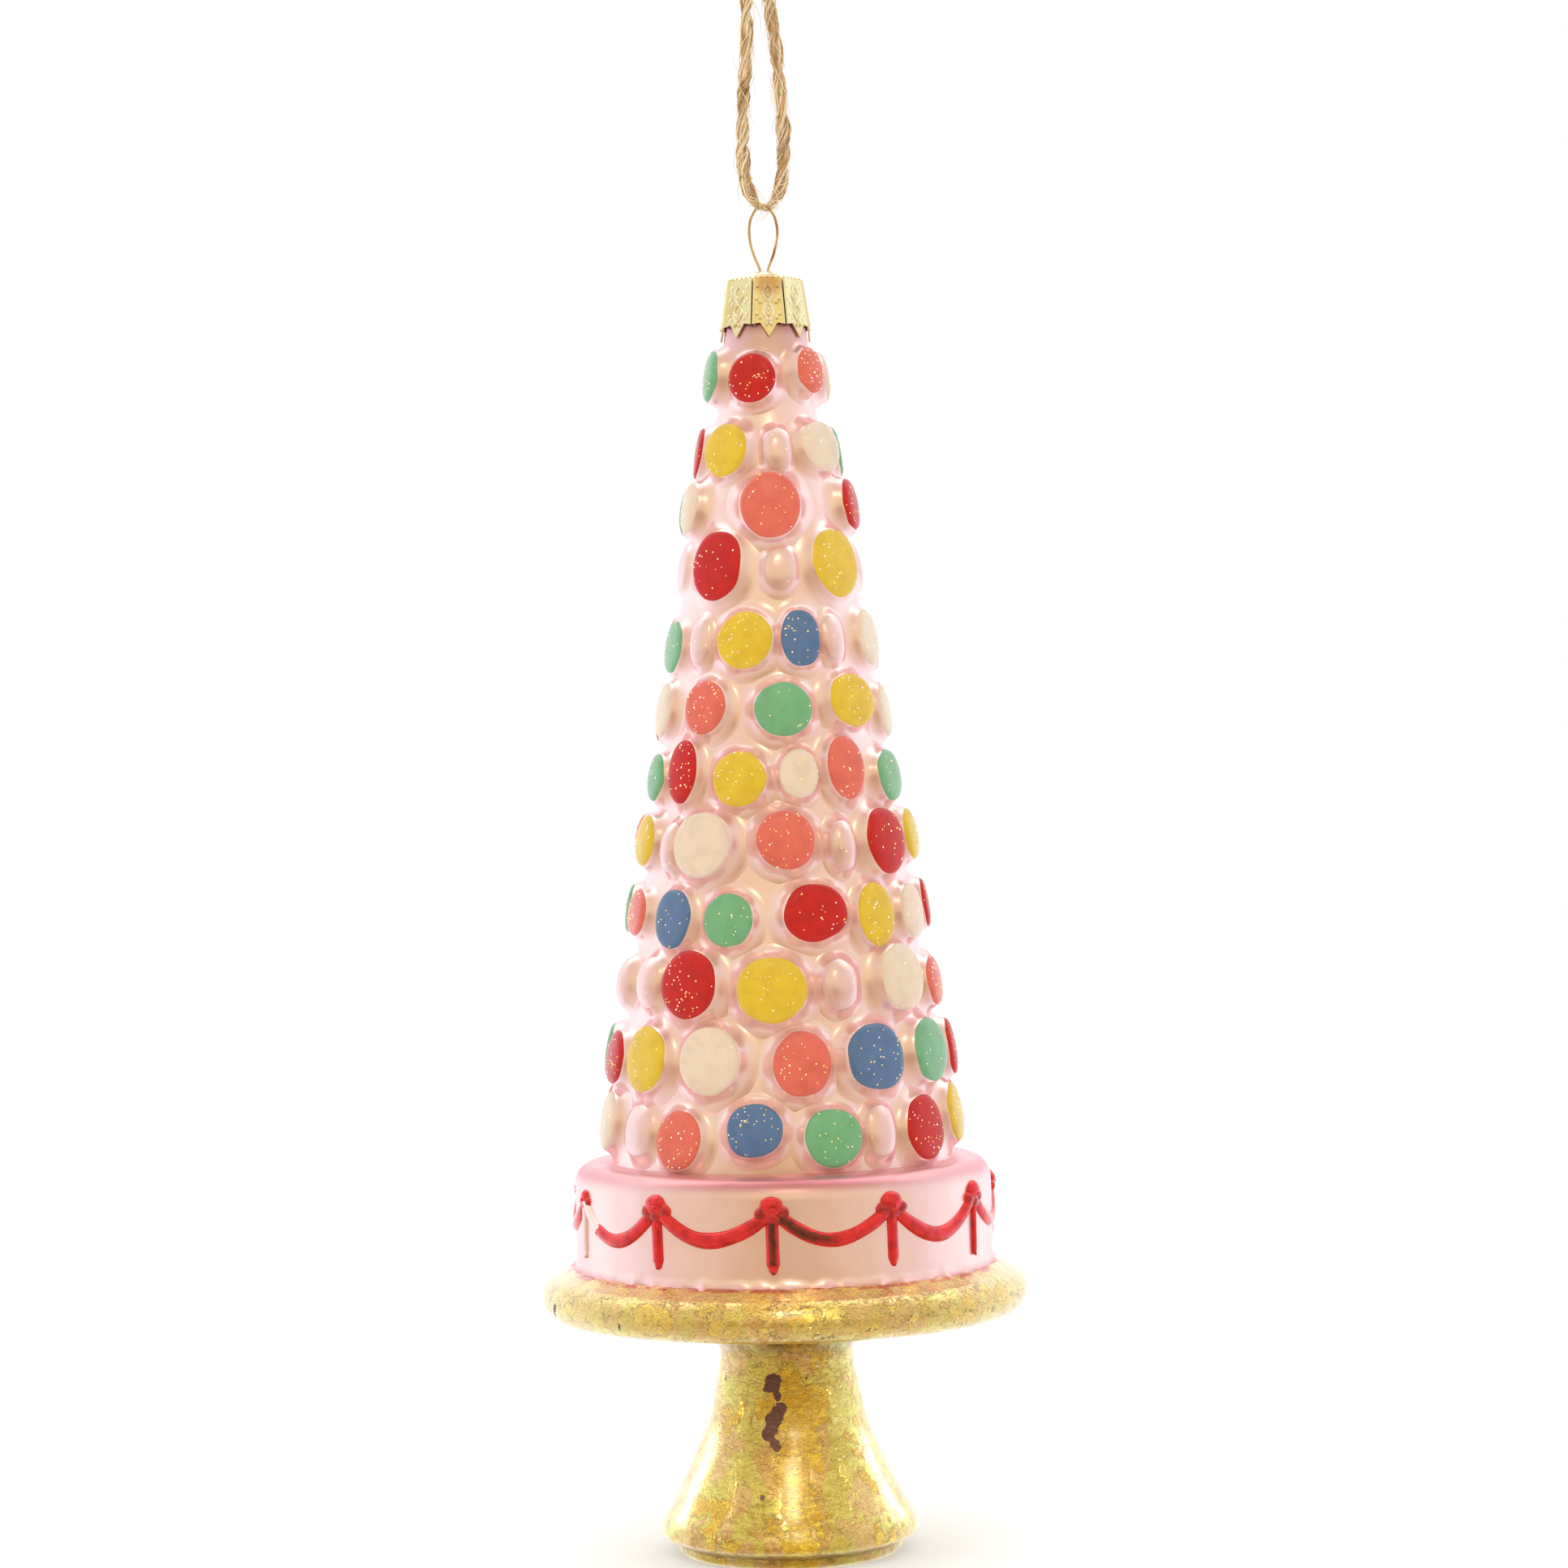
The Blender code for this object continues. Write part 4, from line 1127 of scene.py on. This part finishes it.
def leaf_recipe():
    """Layers of brass and copper leaf, torn to let the older layers through, with painted reflections, glints
    and shade laid over them.
    """
    leaf = new_recipe("metal_leaf")
    flat = leaf.place((1.0, 1.0, 1.7))
    upright = leaf.place((1.3, 1.3, 0.75))
    across = leaf.coordinate(0)
    height = leaf.coordinate(2)
    reach = leaf.reach()
    stem = height.step(31.0 * MM, 28.0 * MM)
    sheet = leaf.grain(upright, 4.2 * MM, 9.0, 0.3)
    second = leaf.grain(leaf.place((1.1, 1.1, 0.8)), 3.9 * MM, 9.0, 0.3)
    third = leaf.grain(flat, 2.6 * MM, 6.0, 0.4)
    wrinkle = leaf.grain(flat, 1.5 * MM, 4.0, 0.8)
    fine = leaf.grain(flat, 0.55 * MM, 3.0, 1.4)
    rag = leaf.grain(upright, 1.3 * MM, 5.0, 0.3)
    torn = 0.24 * rag + 0.08 * fine
    fold = wrinkle.away_from(0.5).step(0.045, 0.0)
    rims = reach.step(28.0 * MM, 30.6 * MM) + height.step(5.0 * MM, 2.5 * MM)
    # Painted shade in the folds, strongest near the plate's rim and the foot's bottom.
    crease_shade = fold * third.step(0.50, 0.62) * (0.06 + 0.7 * rims)
    # Painted reflections: the middle of the stem leans to gold and two strips beside it lean to green.
    gold_reflection_strip = stem * across.away_from(1.6 * MM).step(4.2 * MM, 1.0 * MM)
    green_reflection_strip = stem * across.away_from(0.6 * MM).away_from(5.6 * MM).step(3.2 * MM, 0.6 * MM)
    gold = (second + torn + 0.17 * gold_reflection_strip - 0.05 * green_reflection_strip).step(0.695, 0.72)
    green = (sheet + torn + 0.09 * green_reflection_strip - 0.04 * gold_reflection_strip).step(0.665, 0.68)
    seams = gold * (1.0 - gold) + green * (1.0 - green)
    spots = 0.0
    for place_across, place_up, radius in WORN_SPOTS:
        stem_here = np.interp(place_up * MM, stem_heights, stem_radii) / MM
        spot = Vector((place_across, -sqrt(stem_here ** 2 - place_across ** 2), place_up))
        spots = leaf.near(spot * MM, radius * MM) + spots
    worn = (spots + 2.4 * rag).step(1.60, 1.70) * spots.step(0.02, 0.12) + second.step(0.275, 0.265)
    # Painted shade at the top of the stem, under the plate.
    corner = height.away_from(STEM_CORNER).step(4.0 * MM, 1.0 * MM) * reach.step(15.0 * MM, 12.0 * MM)
    stain = (reach.away_from(STAIN_REACH).step(0.9 * MM, 0.35 * MM) * height.step(35.4 * MM, 36.0 * MM)
             * third.step(0.44, 0.54))
    # Painted shade in the foot's groove and on the ledge under its flange.
    shaded_groove = height.away_from(GROOVE).step(0.8 * MM, 0.3 * MM) + 0.5 * height.step(1.3 * MM, 0.9 * MM)
    copper = leaf.mix(third.step(0.35, 0.70), "E4C57C", "CDA350")
    moss = leaf.mix(third.step(0.35, 0.65), "E2D670", "CDBC4A")
    yellow = leaf.mix(wrinkle.step(0.35, 0.65), "F2D548", "DFB426")
    # Among the coats, the fine pale flecks are painted glints and the fine dark ones painted shade in small
    # crinkles.
    body = leaf.coats(leaf.mix(green, copper, moss), (gold, yellow), (0.42 - 0.42 * stem, "E4C878"),
                      (1.4 * seams, "8C6A2C"),
                      (0.8 * fine.step(0.56, 0.64) * third.step(0.42, 0.60), "F4E4A4"),
                      (0.5 * fine.step(0.44, 0.36) * third.step(0.58, 0.40), "9A7428"),
                      (worn, "735046"), (corner * (1.6 * rag - 0.25), "6A4A26"), (crease_shade, "5E4A26"),
                      (0.85 * stain, "C24A2A"), (shaded_groove * (0.10 + rag), "7C5C24"))
    relief = wrinkle * (0.30 + 0.5 * rims) + 0.25 * fold + fine * (0.22 + 1.10 * gold) + 0.15 * gold
    return leaf.surface({"Base Color": body, "Metallic": 0.95 - 0.5 * worn,
                         "Roughness": 0.12 + 0.10 * third - 0.06 * gold + 0.25 * worn + 0.2 * shaded_groove,
                         "Coat Weight": (1.0 - worn) * (1.0 - shaded_groove), "Coat IOR": 1.5,
                         "Coat Roughness": 0.3, "Normal": leaf.bump(relief, 0.20 * MM)})


present("gilded_stand", stand_shape, leaf_recipe(), ["glass_body"])

# %% [markdown]
# ## The crown cap
#
# The cap is thin brass, stamped flat with two diamonds of crossing ribs on each leaf and then
# folded down round the neck. A flat grid is the natural start: its points are moved into the leaf's
# outline and lifted by the stamped pattern, and the sheet gets its thickness last.
# %% Cap leaves
CAP_PANELS = 8
CAP_PHASE = 5.0
CAP_SHEET = 0.24 * MM
CAP_RIM = 161.0 * MM
CAP_HEM = 155.05 * MM
CAP_TOOTH = 1.6 * MM
CAP_TOOTH_HALF = 1.1 * MM
CAP_TOP_REACH = 4.55 * MM
CAP_HEM_REACH = 5.4 * MM
CAP_SLIT = 0.13 * MM
CAP_NOTCH = 0.16 * MM
LEAF_COLUMNS = 66
LEAF_ROWS = 88

half_turn = radians(180.0 / CAP_PANELS)
leaf_top = CAP_TOP_REACH * tan(half_turn) - 0.5 * CAP_SLIT
leaf_hem = CAP_HEM_REACH * tan(half_turn) - 0.5 * CAP_SLIT
leaf_drop = hypot(CAP_HEM_REACH - CAP_TOP_REACH, CAP_RIM - CAP_HEM)
leaf_lean = atan2(CAP_HEM_REACH - CAP_TOP_REACH, CAP_RIM - CAP_HEM)
# The stamped pattern is worked out in plain millimetres. It lies on a leaf across from the middle
# line and down from the rim.
DIAMOND = 2.40
DIAMOND_START = 0.85
DIAMOND_HALF = 0.60
DIAMONDS_END = 2.2
RIB_LIFT = 0.15
RIB_WIDTH = 0.11
CORE_LIFT = 0.10
CORE_HALF = 0.27
CORE_LENGTH = 0.22
CORE_EDGE = 0.32
DOTS = ((1.25, 1.1), (1.40, 2.75), (1.02, 3.15), (1.45, 4.7), (1.05, 5.2))
DOT_LIFT = 0.10
DOT_WIDTH = 0.15
EDGE_LIFT = 0.12
EDGE_WIDTH = 0.12
# The lift at which the painted highlight on a rib is full.
HIGHLIGHT_LIFT = 0.13
STAMP_SINK = 0.10
CAP_AZIMUTHS = [CAP_PHASE + index * 360.0 / CAP_PANELS for index in range(CAP_PANELS)]


def bell(distance, width):
    return exp(-(distance / width) ** 2)


def stamped(across, down, half):
    """Height in millimetres of the stamped pattern at a place on a leaf, in millimetres."""
    turns = (down - DIAMOND_START) / DIAMOND
    swing = sin(pi * turns)
    height = 0.0
    if 0.0 < turns < DIAMONDS_END:
        for side in (-1.0, 1.0):
            height = max(height, RIB_LIFT * bell(across - side * DIAMOND_HALF * swing, RIB_WIDTH))
        inner = abs(across) / CORE_HALF + abs(turns % 1.0 - 0.5) / CORE_LENGTH
        height = max(height, CORE_LIFT * bell(inner - 1.0, CORE_EDGE))
    for dot_across, dot_down in DOTS:
        height = max(height, DOT_LIFT * bell(hypot(abs(across) - dot_across, down - dot_down), DOT_WIDTH))
    return max(height, EDGE_LIFT * bell(half - abs(across), EDGE_WIDTH))


def add_leaf(shape, azimuth):
    """One folded leaf, with the height of its stamping kept as a tone, from which the finish paints a
    highlight on the ribs.
    """
    leaf = toned_shape()
    layer = leaf.verts.layers.float["tone"]
    bmesh.ops.create_grid(leaf, x_segments=LEAF_COLUMNS, y_segments=LEAF_ROWS, size=0.5)
    for vert in leaf.verts:
        part = 0.5 - vert.co.y
        half = leaf_top + (leaf_hem - leaf_top) * part
        across = 2.0 * vert.co.x * half
        tooth = max(0.0, 1.0 - abs(across) / CAP_TOOTH_HALF) * CAP_TOOTH
        notch = CAP_NOTCH * sin(pi * min(1.0, abs(across) / half)) ** 2
        down = part * (leaf_drop + tooth - notch)
        lift = stamped(across / MM, down / MM, half / MM)
        vert[layer] = lift / HIGHLIGHT_LIFT
        vert.co = (across, -down, (lift - STAMP_SINK) * MM)
    bmesh.ops.recalc_face_normals(leaf, faces=leaf.faces)
    bmesh.ops.solidify(leaf, geom=leaf.faces[:], thickness=CAP_SHEET)
    bmesh.ops.recalc_face_normals(leaf, faces=leaf.faces)
    bmesh.ops.transform(leaf, matrix=facing(azimuth, CAP_TOP_REACH, CAP_RIM, leaf_lean), verts=leaf.verts)
    shape.from_mesh(mesh_of(leaf, "leaf"))


cap_shape = toned_shape()
for azimuth in CAP_AZIMUTHS:
    add_leaf(cap_shape, azimuth)

# %% [markdown]
# The crown joins the leaves. It is turned like a lid, then drawn out towards the eight corners,
# and a row of stamped beads runs along its edge.
# %% Cap crown
BEADS_ON_LEAF = 5
BEAD_RADIUS = 0.19 * MM
BEAD_RISE = 0.12 * MM
BEAD_SINK = 0.06 * MM
CROWN_HIGHLIGHT = 0.35
CROWN_STEPS = 96
# Radius and height in mm, over the top and back inside.
CROWN_SECTION = (
    (1.00, 161.95), (1.10, 162.15), (1.35, 162.18), (1.75, 162.06), (1.90, 162.16), (2.15, 162.16),
    (2.40, 162.00), (3.30, 161.84), (3.95, 161.58), (4.40, 161.15), (4.57, 160.85), (4.57, 160.50),
    (4.33, 160.50), (4.25, 160.90), (3.30, 161.58), (1.00, 161.70), (1.00, 161.95),
)
# A darker orange spot near the top of the front leaf.
ORANGE_SPOT = Vector((0.5, -4.6, 160.2)) * MM

crown = turned([(radius * MM, height * MM) for radius, height in CROWN_SECTION], CROWN_STEPS)
layer = crown.verts.layers.float.new("tone")
for vert in crown.verts:
    turn = atan2(vert.co.x, -vert.co.y) - radians(CAP_PHASE)
    corner = (turn + half_turn) % (2.0 * half_turn) - half_turn
    share = min(1.0, vert.co.xy.length / CAP_TOP_REACH) ** 3
    grow = 1.0 + share * (1.0 / cos(corner) - 1.0)
    vert.co.x *= grow
    vert.co.y *= grow
for azimuth in CAP_AZIMUTHS:
    place = facing(azimuth, CAP_TOP_REACH, CAP_RIM)
    for bead in range(BEADS_ON_LEAF):
        across = (bead - 0.5 * (BEADS_ON_LEAF - 1)) * 2.0 * leaf_top / BEADS_ON_LEAF
        bmesh.ops.create_uvsphere(crown, u_segments=8, v_segments=6, radius=BEAD_RADIUS,
                                  matrix=place @ Matrix.Translation((across, BEAD_RISE, -BEAD_SINK)))
# The crown gets a little of the painted highlight.
for vert in crown.verts:
    vert[layer] = CROWN_HIGHLIGHT


def cap_recipe():
    """Varnished gilt brass with a random tarnish, and a painted highlight on the stamped ribs."""
    brass = new_recipe("gilt_brass")
    tarnish = brass.grain(brass.place(), 2.4 * MM, 3.0)
    scratch = brass.grain(brass.place((1.0, 1.0, 0.25)), 0.35 * MM, 2.0)
    # The pale colour on the stamped ribs is a painted highlight.
    body = brass.coats(brass.mix(tarnish.step(0.48, 0.72), "ECE2AC", "DEC682"),
                       (brass.attribute("tone").step(0.15, 0.9), "FAF4CC"),
                       (0.7 * brass.near(ORANGE_SPOT, 1.6 * MM), "C08434"))
    return brass.surface({"Base Color": body, "Metallic": 1.0, "Roughness": 0.20 + 0.10 * tarnish,
                          "Coat Weight": 1.0, "Coat IOR": 1.75, "Coat Roughness": 0.12,
                          "Normal": brass.bump(scratch, 0.01 * MM)})


cap_finish = cap_recipe()
present("cap_leaves", cap_shape, cap_finish, ["cap"])
present("cap_crown", crown, cap_finish, ["cap"])

# %% [markdown]
# ## The wire eye
#
# A thin springy wire is bent into a pointed loop that holds the cap. It is one round strand along
# the solid's own route, in coppery gold that is a little worn in patches along it.
# %% Wire
WIRE_RADIUS = 0.19 * MM
WIRE_LEG = ((0.32, 160.4), (0.34, 161.8), (0.66, 163.1), (1.18, 164.4), (1.64, 166.0), (1.80, 167.7),
            (1.58, 169.1), (1.12, 170.1), (0.60, 170.75), (0.0, 171.0))
leg = [Vector((-across, 0.0, height)) * MM for across, height in WIRE_LEG]
wire_route = smooth_route(leg + [Vector((-place.x, 0.0, place.z)) for place in reversed(leg[:-1])], 8)
wire_shape = bmesh.new()
add_strand(wire_shape, wire_route, [WIRE_RADIUS] * len(wire_route), sides=12)


def wire_recipe():
    copper = new_recipe("coppery_wire")
    wear = copper.grain(copper.place((1.0, 1.0, 0.3)), 0.9 * MM, 3.0)
    body = copper.mix(wear.step(0.38, 0.6), "B08660", "E3CFA0")
    return copper.surface({"Base Color": body, "Metallic": 1.0, "Roughness": 0.22 + 0.15 * wear,
                           "Normal": copper.bump(wear, 0.02 * MM)})


present("wire_eye", close_strands(wire_shape), wire_recipe(), ["hanger_wire"])

# %% [markdown]
# ## Floor and light
#
# A pale floor and a white room, bright at the sides and behind the ornament and dim and warm on the
# viewer's side, as a photographer's table is. That dim side makes the middle of a mirror-like
# ornament peach and gold while its flanks turn nearly white. A small warm lamp above the viewer
# gives the sparkle on the glass, and a large soft panel fills from the left. Four pencils of light
# reach only the stand: two warm ones make its middle glitter, and two cool ones draw a white line
# down each flank.
# %% Floor
FLOOR_SIZE = 4.0

floor_shape = bmesh.new()
bmesh.ops.create_grid(floor_shape, x_segments=2, y_segments=2, size=0.5 * FLOOR_SIZE)
floor_mesh = mesh_of(floor_shape, "floor")
paper = new_recipe("pale_paper")
paper_tone = paper.grain(paper.place(), 40.0 * MM, 3.0)
floor_mesh.materials.append(paper.surface({
    "Base Color": paper.mix(paper_tone, (0.86, 0.87, 0.88, 1.0), (0.88, 0.89, 0.90, 1.0)),
    "Roughness": 0.9, "Emission Color": (0.94, 0.97, 1.0, 1.0), "Emission Strength": 0.28}))
floor = add_object("floor", floor_mesh)
floor.visible_glossy = False

# %% Room and lamps
FRONT = Vector((0.0, -1.0, -0.05)).normalized()
# Each stop is how far from straight ahead it lies, from 0 to 1, and then its colour.
LOW_STOPS = ((0.00, 0.36, 0.21, 0.08), (0.05, 0.50, 0.30, 0.12), (0.11, 0.64, 0.40, 0.18),
             (0.28, 0.77, 0.63, 0.48), (0.42, 0.88, 0.72, 0.65), (0.54, 1.04, 1.05, 1.15),
             (0.68, 1.35, 1.36, 1.42), (1.00, 1.50, 1.50, 1.50))
HIGH_STOPS = ((0.00, 0.92, 0.76, 0.34), (0.19, 0.91, 0.78, 0.46), (0.30, 0.89, 0.79, 0.62),
              (0.44, 0.95, 0.88, 0.82), (0.56, 1.10, 1.10, 1.15), (0.70, 1.32, 1.34, 1.38),
              (1.00, 1.40, 1.40, 1.40))
CEILING_STOPS = ((0.00, 0.82, 0.64, 0.34), (0.30, 0.80, 0.64, 0.38), (0.44, 0.90, 0.80, 0.62),
                 (0.52, 1.50, 1.45, 1.40), (0.57, 2.60, 2.60, 2.60), (0.65, 1.80, 1.80, 1.70),
                 (1.00, 1.50, 1.50, 1.50))
DIFFUSE_STOPS = ((0.00, 0.74, 0.70, 0.60), (0.35, 0.92, 0.90, 0.86), (0.60, 1.08, 1.08, 1.08),
                 (1.00, 1.20, 1.20, 1.20))


def light_room():
    """White to the camera, even for matt surfaces, and shaded front to back in reflections."""
    world = bpy.data.worlds.new("studio")
    bpy.context.scene.world = world
    room = Recipe(world)
    looking = room.node("ShaderNodeTexCoord").outputs["Generated"]
    ahead = room.value("ShaderNodeVectorMath", {"operation": "DOT_PRODUCT"}, {0: looking, 1: FRONT}, "Value")
    away = room.calculate("ARCCOSINE", ahead) * (1.0 / pi)
    height = room.value("ShaderNodeSeparateXYZ", {}, {0: looking}, 2)
    low, high, ceiling, diffuse = [
        room.node("ShaderNodeValToRGB", {"stops": stops}, {"Fac": away}).outputs[0]
        for stops in (LOW_STOPS, HIGH_STOPS, CEILING_STOPS, DIFFUSE_STOPS)]
    rays = room.node("ShaderNodeLightPath").outputs
    colour = room.mix(height.step(-0.02, 0.25), low, high)
    colour = room.mix(height.step(0.50, 0.85), colour, ceiling)
    colour = room.mix(rays["Is Glossy Ray"], diffuse, colour)
    colour = room.mix(rays["Is Camera Ray"], colour, (1.0, 1.0, 1.0, 1.0))
    background = room.node("ShaderNodeBackground", {}, {"Color": colour, "Strength": 1.0})
    room.node("ShaderNodeOutputWorld", {}, {"Surface": background.outputs[0]})


TOWER_MIDDLE = 80.0
PENCIL_RADIUS = 0.005
PENCIL_BLEND = 0.4
WARM = (1.0, 0.92, 0.62)
COOL = (1.0, 1.0, 0.97)


def add_lamp(name, kind, azimuth, elevation, aim_height, watts, tint, distance=1.0):
    """A lamp that looks at a place on the axis, from a distance in metres."""
    lamp = bpy.data.lights.new(name, kind)
    lamp.energy = watts
    lamp.color = tint
    holder = add_object(name, lamp)
    up = radians(elevation)
    away = Matrix.Rotation(radians(azimuth), 3, "Z") @ Vector((0.0, -cos(up), sin(up)))
    holder.location = Vector((0.0, 0.0, aim_height * MM)) + away * distance
    holder.rotation_euler = away.to_track_quat("Z", "Y").to_euler()
    return holder


light_room()
spark = add_lamp("warm_spark", "AREA", 5, 40, TOWER_MIDDLE, 0.30, (1.0, 0.88, 0.66))
spark.data.size = 0.2
panel = add_lamp("soft_panel", "AREA", -20, 58, TOWER_MIDDLE, 2.4, (1.0, 1.0, 1.0), distance=1.1)
panel.data.size = 0.9
panel.visible_glossy = False
for name, azimuth, elevation, aim_height, cone, watts, tint in (
        ("stand_spot_high", 2, 43, 0.0, 1.2, 12.0, WARM), ("stand_spot_low", 9, 30, 4.6, 1.2, 11.0, WARM),
        ("stand_edge_left", -127, 17, 12.0, 2.1, 7.5, COOL),
        ("stand_edge_right", 127, 17, 12.0, 2.1, 7.5, COOL)):
    pencil = add_lamp(name, "SPOT", azimuth, elevation, aim_height, watts, tint).data
    pencil.spot_size = radians(cone)
    pencil.spot_blend = PENCIL_BLEND
    pencil.shadow_soft_size = PENCIL_RADIUS
bpy.context.scene.view_settings.view_transform = "Standard"
bpy.context.scene.view_settings.look = "None"
